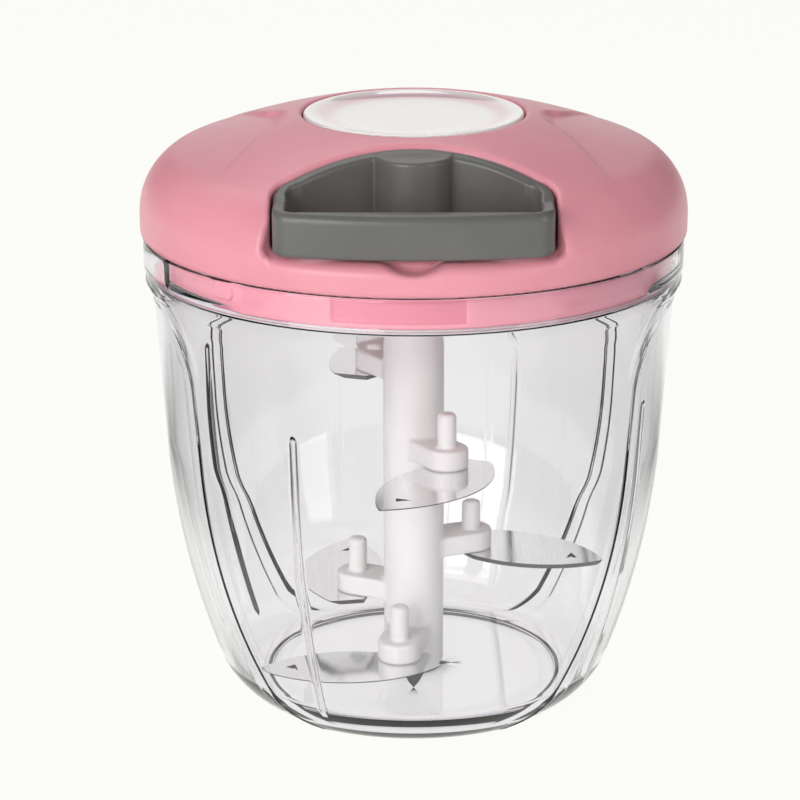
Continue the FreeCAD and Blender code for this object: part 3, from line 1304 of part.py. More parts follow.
def make_drive_hub():
    """Ratchet cup with its internal teeth and a stem that holds the drive socket."""
    body = new_body("drive_hub")
    cup_under = "plate_top + body_gap"
    bore = "axle_radius + running_gap"
    turned(body, "hub_turned", [
        (bore, "web_bottom"),
        ("screw_well", "web_bottom"),
        ("screw_well", "socket_top"),
        (ZERO, "socket_top"),
        (ZERO, "stem_bottom"),
        ("stem_radius", "stem_bottom"),
        ("stem_radius", cup_under),
        ("ratchet_outer", cup_under),
        ("ratchet_outer", "ratchet_top"),
        ("ratchet_inner", "ratchet_top"),
        ("ratchet_inner", "ratchet_floor"),
        (bore, "ratchet_floor"),
    ])
    socket = new_sketch(body, "socket_sketch", "XY_Plane", "stem_bottom - %s" % NIP)
    circle(socket, ZERO, ZERO, "fin_reach + socket_gap")
    pocket(body, "drive_socket", socket, "socket_top - stem_bottom + 1.5 * %s" % NIP, forward=True)
    driver = new_sketch(body, "driver_sketch", "XY_Plane", "stem_bottom", turn="driver_angle")
    rib_start = "(head_core + 2 * socket_gap)"
    outline(driver, bar_corners(rib_start, "(fin_reach + stem_radius) / 2", "driver_width"))
    driver_pad = pad(body, "socket_driver", driver, "socket_top - stem_bottom")
    doc.recompute()
    ring_of(body, "socket_drivers", [driver_pad], "fin_count")
    tooth = new_sketch(body, "tooth_sketch", "XY_Plane", "ratchet_floor")
    near = "(ratchet_inner - tooth_lip)"
    deep = "(ratchet_inner + tooth_depth)"
    outline(tooth, [
        (near + " * cos(tooth_start_angle)", near + " * sin(tooth_start_angle)"),
        (deep + " * cos(tooth_end_angle)", deep + " * sin(tooth_end_angle)"),
        (near + " * cos(tooth_face_angle)", near + " * sin(tooth_face_angle)"),
    ])
    tooth_cut = pocket(body, "ratchet_tooth", tooth, "cup_bottom - ratchet_floor", forward=True)
    doc.recompute()
    ring_of(body, "ratchet_teeth", [tooth_cut], "tooth_count")
    return keep(body)


def make_axle():
    """Steel axle, hung by its head in the crown, with its washer and screw."""
    axle = new_body("axle")
    turned(axle, "axle_turned", [
        ("axle_screw_radius + fixed_gap", "axle_bottom"),
        ("axle_radius", "axle_bottom"),
        ("axle_radius", "seat_height - axle_head_height"),
        ("axle_head", "seat_height - axle_head_height"),
        ("axle_head", "seat_height - fixed_gap"),
        (ZERO, "seat_height - fixed_gap"),
        (ZERO, "axle_bottom + axle_screw_length + %s" % NIP),
        ("axle_screw_radius + fixed_gap", "axle_bottom + axle_screw_length + %s" % NIP),
    ])
    keep(axle)
    washer = new_body("axle_washer")
    washer_bottom = "(axle_bottom - washer_thickness)"
    turned(washer, "washer_turned", [
        ("axle_screw_radius + fixed_gap", washer_bottom),
        ("washer_radius", washer_bottom),
        ("washer_radius", "axle_bottom"),
        ("axle_screw_radius + fixed_gap", "axle_bottom"),
    ])
    keep(washer)
    screw = new_body("axle_screw")
    turned(screw, "axle_screw_turned", [
        (ZERO, washer_bottom + " - screw_head_height"),
        ("axle_screw_head", washer_bottom + " - screw_head_height"),
        ("axle_screw_head", washer_bottom),
        ("axle_screw_radius", washer_bottom),
        ("axle_screw_radius", "axle_bottom + axle_screw_length"),
        (ZERO, "axle_bottom + axle_screw_length"),
    ])
    keep(screw)


def make_lid_screws():
    """Screws through the floor plate into the bosses of the cover, one group."""
    screws = []
    for turn in range(int(number("screw_count"))):
        angle = "(screw_angle + %d * 360 / screw_count)" % turn
        x = "screw_circle * cos(%s)" % angle
        y = "screw_circle * sin(%s)" % angle
        head = cylinder("lid_screw_head_%d" % turn, "screw_head", "screw_head_height",
                        x, y, "plate_bottom - screw_head_height")
        shank = cylinder("lid_screw_shank_%d" % turn, "screw_radius - fixed_gap", "screw_length",
                         x, y, "plate_bottom")
        screws += [head, shank]
    return keep(fused("lid_screws", screws), "lid_screws")


def check_and_write():
    """Stop on any failed object or bad shape, then write one file for each piece."""
    for item in doc.Objects:
        if "Invalid" in item.State or "Error" in item.State:
            raise RuntimeError("failed: %s" % item.Name)
    for piece in pieces:
        if piece.Shape.isNull() or not piece.Shape.isValid():
            raise RuntimeError("bad shape: %s" % piece.Label)
    os.makedirs("parts", exist_ok=True)
    for piece in pieces:
        piece.Shape.exportStep("parts/%s.step" % piece.Label)
        print(piece.Label, round(piece.Shape.Volume, 1), len(piece.Shape.Solids))


def main():
    """Build every piece, check it and write it out."""
    fill_sheet()
    make_bowl()
    make_bowl_pin()
    make_blade_shaft()
    for row in BLADES:
        make_blade(row[0])
    make_top_cover()
    make_centre_cap()
    make_lid_base()
    make_seal_ring()
    make_handle()
    make_cord()
    make_spool()
    make_recoil_spring()
    make_spring_cover()
    make_pawls()
    make_drive_hub()
    make_axle()
    make_lid_screws()
    doc.recompute()


main()
check_and_write()
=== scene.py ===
"""Looks of the pull-string food chopper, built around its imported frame.

Every piece is made in metres in the frame's own axes: the origin is the centre of the foot,
+Z is up and the handle faces -Y.
"""

import logging
import math
from dataclasses import dataclass
from enum import Enum
from typing import Callable, Dict, List, Optional, Sequence, Tuple, Union

import bmesh
import bpy
import numpy as np
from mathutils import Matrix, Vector


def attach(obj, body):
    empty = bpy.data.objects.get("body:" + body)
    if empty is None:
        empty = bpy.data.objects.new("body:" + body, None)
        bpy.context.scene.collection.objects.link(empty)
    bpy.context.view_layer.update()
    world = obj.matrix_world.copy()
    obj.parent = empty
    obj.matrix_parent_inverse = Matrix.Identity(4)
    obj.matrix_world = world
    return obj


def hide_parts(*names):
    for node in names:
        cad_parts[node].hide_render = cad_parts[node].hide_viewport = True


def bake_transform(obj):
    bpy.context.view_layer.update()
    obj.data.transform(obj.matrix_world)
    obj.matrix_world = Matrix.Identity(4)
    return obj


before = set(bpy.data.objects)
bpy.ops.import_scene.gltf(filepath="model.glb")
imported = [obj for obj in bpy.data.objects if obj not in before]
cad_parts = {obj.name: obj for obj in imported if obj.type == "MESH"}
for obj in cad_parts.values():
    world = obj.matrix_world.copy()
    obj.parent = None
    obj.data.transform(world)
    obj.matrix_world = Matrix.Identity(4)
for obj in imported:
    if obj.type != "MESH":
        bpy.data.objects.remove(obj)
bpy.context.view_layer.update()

LOG = logging.getLogger("chopper")
MM = 0.001
FULL_TURN = 2 * math.pi

Corner = Tuple[float, float]
Point = Tuple[float, float, float]
Colour = Tuple[float, float, float]
Amount = Union[float, np.ndarray]
Field = Callable[[np.ndarray], np.ndarray]
Inputs = Dict[Union[int, str], object]


class Slot(Enum):
    """Material slots of the record; the pieces here are given their materials directly."""

    CLEAR = "clear_plastic"
    PINK = "pink_plastic"
    GREY = "grey_plastic"
    WHITE_GLOSS = "white_gloss"
    WHITE = "white_plastic"
    BLADE = "blade_steel"
    STEEL = "steel"
    SPRING = "spring_steel"
    SILICONE = "silicone"
    CORD = "cord"


@dataclass(frozen=True)
class Plastic:
    """Finish of a moulded plastic.

    Attributes:
        name: name of the material.
        colour: base colour in linear RGB.
        shade: colour of the faint cloudy variation.
        roughness: middle roughness.
        roughness_swing: how far the roughness wanders from the middle.
        grain_scale: number of grains in a metre.
        grain_height: height of the grain in metres.
        coat: weight of a glossy coat.
        subsurface: weight of light that scatters below the surface.
        ring: radii in metres where a ring of painted pinkish shade starts, is strongest and ends, or none.
        ring_shade_colour: colour of that painted shade.
    """

    name: str
    colour: Colour
    shade: Colour
    roughness: float
    roughness_swing: float
    grain_scale: float
    grain_height: float
    coat: float = 0.0
    subsurface: float = 0.0
    ring: Optional[Point] = None
    ring_shade_colour: Colour = (1.0, 1.0, 1.0)


@dataclass(frozen=True)
class Clear:
    """Finish of a see-through plastic.

    Attributes:
        name: name of the material.
        colour: tint of the light that passes.
        roughness: roughness of its surface.
        ior: index of refraction.
        tint: colour that a long way through the wall takes on.
        depth: how strongly it takes it on, per metre.
    """

    name: str
    colour: Colour
    roughness: float
    ior: float
    tint: Colour
    depth: float


@dataclass(frozen=True)
class Metal:
    """Finish of a steel piece.

    Attributes:
        name: name of the material.
        colour: colour of its reflection.
        shade: colour of the darker streaks.
        roughness: middle roughness.
        streak_scale: streaks in a metre across the brushing.
        streak_length: how many times longer a streak is than wide.
        brush_height: height of the brushing in metres.
    """

    name: str
    colour: Colour
    shade: Colour
    roughness: float
    streak_scale: float
    streak_length: float
    brush_height: float


@dataclass(frozen=True)
class Braid:
    """Finish of the braided cord.

    Attributes:
        name: name of the material.
        colour: colour of the strands' crests.
        shade: colour between the strands, painted darker as the shade in the creases.
        roughness: its roughness.
        strand_scale: scale of the wave that draws each lay of strands.
        relief: height of a strand in metres.
    """

    name: str
    colour: Colour
    shade: Colour
    roughness: float
    strand_scale: float
    relief: float


PINK_SURFACE = (0.36, 0.05, 3200.0, 0.000010, 0.0, 0.06)
PINK = Plastic("pink_moulded", (0.82, 0.33, 0.395), (0.79, 0.305, 0.37), *PINK_SURFACE)
# darker pink painted into the plug's inset panels as the shade that falls in them
PINK_INSET_SHADE = Plastic("pink_inset_painted_shade", (0.74, 0.235, 0.31), (0.71, 0.215, 0.285), *PINK_SURFACE)
GREY = Plastic("grey_moulded", (0.135, 0.133, 0.127), (0.118, 0.116, 0.111), 0.34, 0.05, 3600.0, 0.000008)
WHITE_GLOSS = Plastic(
    "white_polished", (0.93, 0.88, 0.885), (0.91, 0.86, 0.865), 0.07, 0.02, 900.0, 0.000001, 1.0, 0.0,
    # painted pinkish shade ring on the cap's dish wall, standing in for shade and the lid's pink reflection
    (0.0165, 0.0205, 0.0240), (0.80, 0.50, 0.58),
)
WHITE = Plastic(
    "white_moulded", (0.78, 0.78, 0.755), (0.745, 0.745, 0.72), 0.42, 0.06, 2600.0, 0.000006, 0.0, 0.02,
)
SILICONE = Plastic(
    "seal_silicone", (0.90, 0.88, 0.87), (0.84, 0.82, 0.82), 0.50, 0.05, 1800.0, 0.000004, 0.0, 0.35,
)
CLEAR = Clear("clear_moulded", (0.985, 0.982, 0.988), 0.006, 1.52, (0.75, 0.71, 0.79), 80.0)
BLADE = Metal("blade_ground", (0.90, 0.90, 0.90), (0.83, 0.83, 0.84), 0.12, 5200.0, 24.0, 0.000004)
# bevels and rims: the rougher grind is the steel's own, the near-black colour is painted shade
BLADE_EDGE_SHADE = Metal("blade_edge_ground", (0.15, 0.145, 0.15), (0.10, 0.098, 0.10), 0.34, 5200.0, 8.0,
                   0.000004)
STEEL = Metal("steel_turned", (0.56, 0.56, 0.57), (0.42, 0.42, 0.43), 0.28, 3800.0, 12.0, 0.000003)
SPRING = Metal("spring_rolled", (0.36, 0.37, 0.40), (0.26, 0.27, 0.30), 0.32, 4200.0, 30.0, 0.000003)
# the darker colour between the strands is painted crease shade
CORD = Braid("cord_braided", (0.86, 0.85, 0.82), (0.62, 0.61, 0.58), 0.75, 143.2437, 0.00012)

CLOUD_SCALE = 60.0
WEAR_SCALE = 260.0
HAZE_SCALE = 120.0
FLOW_SCALE = 24.0
FLOW_HEIGHT = 0.00006
SMUDGE_SCALE = 90.0
PLASTIC_IOR = 1.5
BRAID_SLANT = 0.7


class Graph:
    """Builds a node tree one node at a time."""

    def __init__(self, tree: bpy.types.NodeTree) -> None:
        """Take a tree.

        Args:
            tree: the tree to fill.
        """
        self.tree = tree

    def add(self, kind: str, inputs: Optional[Inputs] = None, **values: object) -> bpy.types.Node:
        """Add a node, set its properties and fill its inputs.

        Args:
            kind: Blender's type name of the node.
            inputs: what each input gets, by the input's name or number.
            values: properties to set on the node.

        Returns:
            The new node.
        """
        node = self.tree.nodes.new(kind)
        for key, value in values.items():
            setattr(node, key, value)
        self.fill(node, inputs or {})
        return node

    def fill(self, node: bpy.types.Node, inputs: Inputs) -> None:
        """Fill inputs of a node.

        Args:
            node: the node.
            inputs: by name or number, a node or one of its outputs to join, or a plain value.
        """
        for label, source in inputs.items():
            if isinstance(source, bpy.types.Node):
                source = source.outputs[0]
            if isinstance(source, bpy.types.NodeSocket):
                self.tree.links.new(source, node.inputs[label])
            else:
                node.inputs[label].default_value = source

    def maths(self, operation: str, *values: object) -> bpy.types.Node:
        """Add arithmetic.

        Args:
            operation: Blender's name of it.
            values: what it works on.

        Returns:
            The new node.
        """
        return self.add("ShaderNodeMath", dict(enumerate(values)), operation=operation)

    def step(self, value: object, start: float, end: float, low: float, high: float) -> bpy.types.Node:
        """Ease from one value to another over a range.

        Args:
            value: what runs through the range.
            start: where the range starts.
            end: where it ends.
            low: result up to the start.
            high: result from the end on.

        Returns:
            The new node.
        """
        return self.add("ShaderNodeMapRange", {
            "Value": value, "From Min": start, "From Max": end, "To Min": low, "To Max": high,
        }, interpolation_type="SMOOTHSTEP")

    def spread(self, factor: object, low: float, high: float) -> bpy.types.Node:
        """Map a factor to a range of values.

        Args:
            factor: the factor.
            low: value at factor zero.
            high: value at factor one.

        Returns:
            The new node.
        """
        return self.add("ShaderNodeMapRange", {"Value": factor, "To Min": low, "To Max": high})

    def blend(self, factor: object, low: object, high: object) -> bpy.types.Node:
        """Blend two values.

        Args:
            factor: the factor.
            low: value at factor zero.
            high: value at factor one.

        Returns:
            The new node.
        """
        return self.add("ShaderNodeMix", {0: factor, 2: low, 3: high}, data_type="FLOAT")

    def bent_ray(self) -> bpy.types.Node:
        """Factor that is one on rays that gloss or clear plastic has turned.

        Returns:
            The node that gives it.
        """
        path = self.add("ShaderNodeLightPath").outputs
        return self.maths("MAXIMUM", path["Is Glossy Ray"], path["Is Transmission Ray"])


class Nodes(Graph):
    """Builds a material on the object's own coordinates."""

    def __init__(self, name: str) -> None:
        """Start a material with its shader.

        Args:
            name: name of the material.
        """
        self.material = bpy.data.materials.new(name)
        self.material.use_nodes = True
        super().__init__(self.material.node_tree)
        self.tree.nodes.clear()
        self.shader = self.add("ShaderNodeBsdfPrincipled")
        self.output = self.add("ShaderNodeOutputMaterial", {"Surface": self.shader})
        self.place = self.add("ShaderNodeTexCoord").outputs["Object"]

    def noise(self, scale: float, detail: float, stretch: Optional[Point] = None) -> bpy.types.Node:
        """Add noise.

        Args:
            scale: number of features in a metre.
            detail: number of finer octaves.
            stretch: scale along each axis, where the noise is drawn out.

        Returns:
            The new node.
        """
        place = self.place
        if stretch is not None:
            place = self.add("ShaderNodeMapping", {"Scale": stretch, "Vector": place})
        return self.add("ShaderNodeTexNoise", {"Scale": scale, "Detail": detail, "Vector": place})

    def ramp(self, factor: object, low: Colour, high: Colour, start: float = 0.35,
             end: float = 0.65) -> bpy.types.Node:
        """Turn a factor into a blend of two colours.

        Args:
            factor: the factor.
            low: colour at the low end.
            high: colour at the high end.
            start: factor where the blend starts.
            end: factor where it ends.

        Returns:
            The new node.
        """
        ramp = self.add("ShaderNodeValToRGB", {"Fac": factor})
        for element, place, colour in zip(ramp.color_ramp.elements, (start, end), (low, high)):
            element.position = place
            element.color = (*colour, 1.0)
        return ramp

    def bump(self, factor: object, height: float) -> None:
        """Bump the shader's surface.

        Args:
            factor: share of the height at each place.
            height: height of the bump in metres.
        """
        bump = self.add("ShaderNodeBump", {"Height": factor, "Distance": height})
        self.fill(self.shader, {"Normal": bump})


def paint_shade_ring(nodes: Nodes, colour: bpy.types.Node, finish: Plastic) -> bpy.types.NodeSocket:
    """Paint a ring of pinkish shade into a turned piece: painted shade and pink reflection on a dish's wall.

    Args:
        nodes: the material's nodes.
        colour: the node that gives the plain colour.
        finish: the finish with the ring.

    Returns:
        The colour with the painted shade ring.
    """
    inner, middle, outer = finish.ring
    flat = nodes.add("ShaderNodeVectorMath", {0: nodes.place, 1: (1.0, 1.0, 0.0)}, operation="MULTIPLY")
    radius = nodes.add("ShaderNodeVectorMath", {0: flat}, operation="LENGTH").outputs["Value"]
    rise = nodes.step(radius, inner, middle, 0.0, 1.0)
    fall = nodes.step(radius, middle, outer, 1.0, 0.0)
    inputs = {0: nodes.maths("MULTIPLY", rise, fall), 6: colour, 7: (*finish.ring_shade_colour, 1.0)}
    return nodes.add("ShaderNodeMix", inputs, data_type="RGBA").outputs[2]


def plastic_material(finish: Plastic) -> bpy.types.Material:
    """Build the material of a moulded plastic.

    Args:
        finish: the finish to build.

    Returns:
        The material.
    """
    nodes = Nodes(finish.name)
    colour = nodes.ramp(nodes.noise(CLOUD_SCALE, 3.0), finish.shade, finish.colour)
    # a ring, where a finish has one, is painted pinkish shade
    if finish.ring is not None:
        colour = paint_shade_ring(nodes, colour, finish)
    swing = finish.roughness_swing
    wear = nodes.spread(nodes.noise(WEAR_SCALE, 4.0), finish.roughness - swing, finish.roughness + swing)
    nodes.bump(nodes.noise(finish.grain_scale, 2.0), finish.grain_height)
    nodes.fill(nodes.shader, {
        "Base Color": colour, "Roughness": wear, "IOR": PLASTIC_IOR, "Coat Weight": finish.coat,
        "Coat Roughness": 0.05, "Subsurface Weight": finish.subsurface, "Subsurface Radius": (1.0, 0.6, 0.5),
        "Subsurface Scale": 0.002,
    })
    return nodes.material


def clear_material(finish: Clear) -> bpy.types.Material:
    """Build the material of a see-through plastic, which lets light through without a dark shadow.

    Args:
        finish: the finish to build.

    Returns:
        The material.
    """
    nodes = Nodes(finish.name)
    haze = nodes.spread(nodes.noise(HAZE_SCALE, 3.0), finish.roughness * 0.5, finish.roughness * 1.5)
    colour = (*finish.colour, 1.0)
    nodes.fill(nodes.shader, {
        "Roughness": haze, "Base Color": colour, "Transmission Weight": 1.0, "IOR": finish.ior,
    })
    nodes.bump(nodes.noise(FLOW_SCALE, 0.0, (1.0, 1.0, 0.4)), FLOW_HEIGHT)
    through = nodes.add("ShaderNodeBsdfTransparent", {"Color": colour})
    shadow = nodes.add("ShaderNodeLightPath").outputs["Is Shadow Ray"]
    mix = nodes.add("ShaderNodeMixShader", {0: shadow, 1: nodes.shader, 2: through})
    tint = nodes.add("ShaderNodeVolumeAbsorption", {"Color": (*finish.tint, 1.0), "Density": finish.depth})
    nodes.fill(nodes.output, {"Surface": mix, "Volume": tint})
    return nodes.material


def metal_material(finish: Metal) -> bpy.types.Material:
    """Build the material of a steel piece.

    Args:
        finish: the finish to build.

    Returns:
        The material.
    """
    nodes = Nodes(finish.name)
    streaks = nodes.noise(finish.streak_scale, 2.0, (1.0, 1.0 / finish.streak_length, 1.0))
    smudge = nodes.spread(nodes.noise(SMUDGE_SCALE, 3.0), finish.roughness - 0.05, finish.roughness + 0.07)
    nodes.fill(nodes.shader, {
        "Base Color": nodes.ramp(streaks, finish.shade, finish.colour), "Roughness": smudge, "Metallic": 1.0,
    })
    nodes.bump(streaks, finish.brush_height)
    return nodes.material


def cord_material(finish: Braid) -> bpy.types.Material:
    """Build the material of the braided cord: two crossing lays of strands, with painted shade between them.

    Args:
        finish: the finish to build.

    Returns:
        The material.
    """
    nodes = Nodes(finish.name)
    lays = []
    for slant in (BRAID_SLANT, -BRAID_SLANT):
        turned = nodes.add("ShaderNodeMapping", {"Rotation": (slant,) * 3, "Vector": nodes.place})
        wave = {"Scale": finish.strand_scale, "Distortion": 0.6, "Vector": turned}
        lays.append(nodes.add("ShaderNodeTexWave", wave).outputs["Fac"])
    crossed = nodes.maths("MAXIMUM", *lays)
    nodes.bump(crossed, finish.relief)
    nodes.fill(nodes.shader, {
        "Base Color": nodes.ramp(crossed, finish.shade, finish.colour, 0.0, 1.0),
        "Roughness": finish.roughness,
    })
    return nodes.material


def put(name: str, data: bpy.types.ID) -> bpy.types.Object:
    """Put a new object in the scene.

    Args:
        name: its name.
        data: its mesh, lamp or camera.

    Returns:
        The new object.
    """
    thing = bpy.data.objects.new(name, data)
    bpy.context.scene.collection.objects.link(thing)
    return thing


def dress_node(name: str, material: bpy.types.Material) -> None:
    """Give a CAD node that stays its material.

    Args:
        name: the node's name.
        material: the material to show.
    """
    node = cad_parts[name]
    if not node.material_slots:
        node.data.materials.append(material)
    for slot in node.material_slots:
        slot.material = material


def dress(piece: bpy.types.Object, material: bpy.types.Material, body: Optional[str],
          nodes: Sequence[str]) -> bpy.types.Object:
    """Give a piece its material, its body and the CAD nodes that it stands for.

    Args:
        piece: the piece.
        material: its material.
        body: the body that it rides on, or none to leave it on no body.
        nodes: the nodes that it replaces.

    Returns:
        The same piece.
    """
    piece.data.materials.clear()
    piece.data.materials.append(material)
    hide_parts(*nodes)
    if body is not None:
        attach(piece, body)
    LOG.info("%s: %d faces, rides on %s", piece.name, len(piece.data.polygons), body)
    return piece


class Loft:
    """Closed skin built loop by loop."""

    def __init__(self) -> None:
        """Start an empty skin."""
        self.points: List[np.ndarray] = []
        self.faces: List[Tuple[int, ...]] = []
        self.count = 0

    def add(self, points: np.ndarray) -> np.ndarray:
        """Add a loop of points.

        Args:
            points: their places in mm.

        Returns:
            The numbers of the new points.
        """
        self.points.append(points)
        self.count += len(points)
        return np.arange(self.count - len(points), self.count)

    def loop(self, radius: Amount, angle: np.ndarray, height: float) -> np.ndarray:
        """Add a loop of points round the axis.

        Args:
            radius: distance from the axis in mm, one for all points or one for each.
            angle: direction of each point in radians, rising.
            height: height of the loop in mm.

        Returns:
            The numbers of the new points.
        """
        level = np.full(len(angle), height)
        return self.add(np.stack([radius * np.cos(angle), radius * np.sin(angle), level], axis=1))

    def band(self, low: np.ndarray, high: np.ndarray) -> None:
        """Join two loops of the same number of points.

        Args:
            low: numbers of one loop's points.
            high: numbers of the other loop's points.
        """
        self.faces += zip(low, np.roll(low, -1), np.roll(high, -1), high)

    def stack(self, loops: Sequence[np.ndarray]) -> None:
        """Join loops of the same number of points, each to the next.

        Args:
            loops: numbers of each loop's points.
        """
        for low, high in zip(loops, loops[1:]):
            self.band(low, high)

    def stitch(self, low: np.ndarray, low_angle: np.ndarray, high: np.ndarray,
               high_angle: np.ndarray) -> None:
        """Join two loops whose points differ in number, going round both by angle.

        Args:
            low: numbers of one loop's points.
            low_angle: their directions in radians, rising.
            high: numbers of the other loop's points.
            high_angle: their directions in radians, rising.
        """
        low_next = np.append(low_angle[1:], low_angle[0] + FULL_TURN)
        high_next = np.append(high_angle[1:], high_angle[0] + FULL_TURN)
        first, second = 0, 0
        while first < len(low) or second < len(high):
            corner, other = low[first % len(low)], high[second % len(high)]
            if second >= len(high) or (first < len(low) and low_next[first] <= high_next[second]):
                first += 1
                self.faces.append((corner, low[first % len(low)], other))
            else:
                second += 1
                self.faces.append((corner, high[second % len(high)], other))

    def fan(self, loop: np.ndarray, height: float) -> None:
        """Close a loop with triangles to a point on the axis.

        Args:
            loop: numbers of the loop's points.
            height: height of the point on the axis in mm.
        """
        centre = self.add(np.array([[0.0, 0.0, height]]))
        self.faces += zip(loop, np.roll(loop, -1), np.repeat(centre, len(loop)))

    def finish(self, name: str) -> bpy.types.Object:
        """Make the object, with its faces pointing out.

        Args:
            name: name of the piece.

        Returns:
            The new object.
        """
        return mesh_piece(name, np.concatenate(self.points), self.faces, outward=True)


def mesh_piece(name: str, points: np.ndarray, faces: Sequence[Sequence[int]],
               outward: bool = False) -> bpy.types.Object:
    """Make an object of smooth faces from points in mm.

    Args:
        name: name of the piece.
        points: places of the points in mm.
        faces: point numbers of each face.
        outward: whether the faces are first turned to point out.

    Returns:
        The new object.
    """
    mesh = bpy.data.meshes.new(name)
    mesh.from_pydata((points * MM).tolist(), [], [tuple(int(number) for number in face) for face in faces])
    if outward:
        work = bmesh.new()
        work.from_mesh(mesh)
        bmesh.ops.recalc_face_normals(work, faces=work.faces)
        work.to_mesh(mesh)
        work.free()
    mesh.polygons.foreach_set("use_smooth", [True] * len(mesh.polygons))
    mesh.update()
    return put(name, mesh)


def turned_piece(name: str, profile: Sequence[Corner], columns: int) -> bpy.types.Object:
    """Revolve a profile that is closed, or that starts and ends on the axis.

    Args:
        name: name of the piece.
        profile: radius and height of each corner in mm.
        columns: number of points round the axis.

    Returns:
        The new object.
    """
    loft = Loft()
    angle = np.linspace(0.0, FULL_TURN, columns, endpoint=False)
    loops = [loft.loop(radius, angle, height) for radius, height in profile if radius > 0.0]
    loft.stack(loops)
    if profile[0][0] > 0.0:
        loft.band(loops[-1], loops[0])
    else:
        loft.fan(loops[0], profile[0][1])
        loft.fan(loops[-1], profile[-1][1])
    return loft.finish(name)


def rising(angle: np.ndarray) -> np.ndarray:
    """Put directions into one turn from zero, in rising order.

    Args:
        angle: directions in radians.

    Returns:
        The same directions, rising.
    """
    return np.sort(np.mod(angle, FULL_TURN))


def from_nearest(angle: np.ndarray, first: float, pitch: float) -> np.ndarray:
    """Angle from the nearest of several even places round a turn.

    Args:
        angle: directions to measure.
        first: direction of one of the places.
        pitch: angle from one place to the next.

    Returns:
        The signed angle of each direction.
    """
    return np.mod(angle - first + pitch / 2, pitch) - pitch / 2


def along_across(points: np.ndarray, turn: float) -> Tuple[np.ndarray, np.ndarray]:
    """Measure points along and across one direction from the axis.

    Args:
        points: the points.
        turn: the direction in radians.

    Returns:
        How far along it and how far to its left each point is.
    """
    along = points[:, 0] * math.cos(turn) + points[:, 1] * math.sin(turn)
    across = -points[:, 0] * math.sin(turn) + points[:, 1] * math.cos(turn)
    return along, across


def quarter(centre: Corner, radius: float, start: float, count: int) -> List[Corner]:
    """Points of a quarter circle in a profile.

    Args:
        centre: radius and height of its centre.
        radius: its radius.
        start: direction of its first point in radians.
        count: number of points.

    Returns:
        The points.
    """
    turns = np.linspace(start, start + math.pi / 2, count)
    return [(centre[0] + radius * math.cos(turn), centre[1] + radius * math.sin(turn)) for turn in turns]


def round_corner(before: Corner, corner: Corner, after: Corner, radius: float,
                 steps: int = 5) -> List[Corner]:
    """Points of an arc that rounds one corner of a profile.

    Args:
        before: the corner before.
        corner: the corner to round.
        after: the corner after.
        radius: radius of the rounding.
        steps: number of points less one.

    Returns:
        The points, in order.
    """
    here = np.array(corner)
    back = np.array(before) - here
    ahead = np.array(after) - here
    back /= np.linalg.norm(back)
    ahead /= np.linalg.norm(ahead)
    half = math.acos(float(np.clip(back @ ahead, -1.0, 1.0))) / 2
    reach = radius / math.tan(half)
    middle = back + ahead
    middle /= np.linalg.norm(middle)
    centre = here + middle * radius / math.sin(half)
    start, end = here + back * reach - centre, here + ahead * reach - centre
    low = math.atan2(start[1], start[0])
    turn = (math.atan2(end[1], end[0]) - low + math.pi) % FULL_TURN - math.pi
    angles = [low + turn * step / steps for step in range(steps + 1)]
    return [(centre[0] + radius * math.cos(angle), centre[1] + radius * math.sin(angle)) for angle in angles]


def rounded_profile(corners: Sequence[Point]) -> List[Corner]:
    """Profile whose corners are rounded, each by its own radius.

    Args:
        corners: radius, height and rounding of each corner in mm.

    Returns:
        The points of the profile.
    """
    points = []
    for index, (radius, height, bend) in enumerate(corners):
        if bend == 0.0:
            points.append((radius, height))
            continue
        after = corners[(index + 1) % len(corners)]
        points += round_corner(corners[index - 1][:2], (radius, height), after[:2], bend)
    return points


def smooth_step(value: Amount, start: float, end: float) -> Amount:
    """Blend from 0 at one value to 1 at another.

    Args:
        value: the values.
        start: value at which the blend is 0.
        end: value at which the blend is 1.

    Returns:
        The blend.
    """
    part = np.clip((value - start) / (end - start), 0.0, 1.0)
    return part * part * (3.0 - 2.0 * part)


def both_rounded(first: np.ndarray, second: np.ndarray, radius: Amount) -> np.ndarray:
    """Distance to what lies in two bodies, with its edge rounded.

    Args:
        first: distance to the first body.
        second: distance to the second body.
        radius: radius of the rounding.

    Returns:
        The distance.
    """
    corner = np.hypot(np.maximum(first + radius, 0.0), np.maximum(second + radius, 0.0))
    return np.minimum(np.maximum(first, second), -radius) + corner


def either_filleted(first: np.ndarray, second: np.ndarray, radius: float) -> np.ndarray:
    """Distance to two bodies joined with a fillet.

    Args:
        first: distance to the first body.
        second: distance to the second body.
        radius: radius of the fillet.

    Returns:
        The distance.
    """
    corner = np.hypot(np.maximum(radius - first, 0.0), np.maximum(radius - second, 0.0))
    return np.maximum(np.minimum(first, second), radius) - corner


def arc_centre(start: np.ndarray, end: np.ndarray, bend: float) -> np.ndarray:
    """Centre of an arc that bulges to the right of the way from its start to its end.

    Args:
        start: its start in its plane.
        end: its end.
        bend: its radius.

    Returns:
        The centre.
    """
    chord = end - start
    length = np.linalg.norm(chord)
    left = np.array([-chord[1], chord[0]]) / length
    return (start + end) / 2 + left * math.sqrt(max(bend ** 2 - length ** 2 / 4, 0.0))


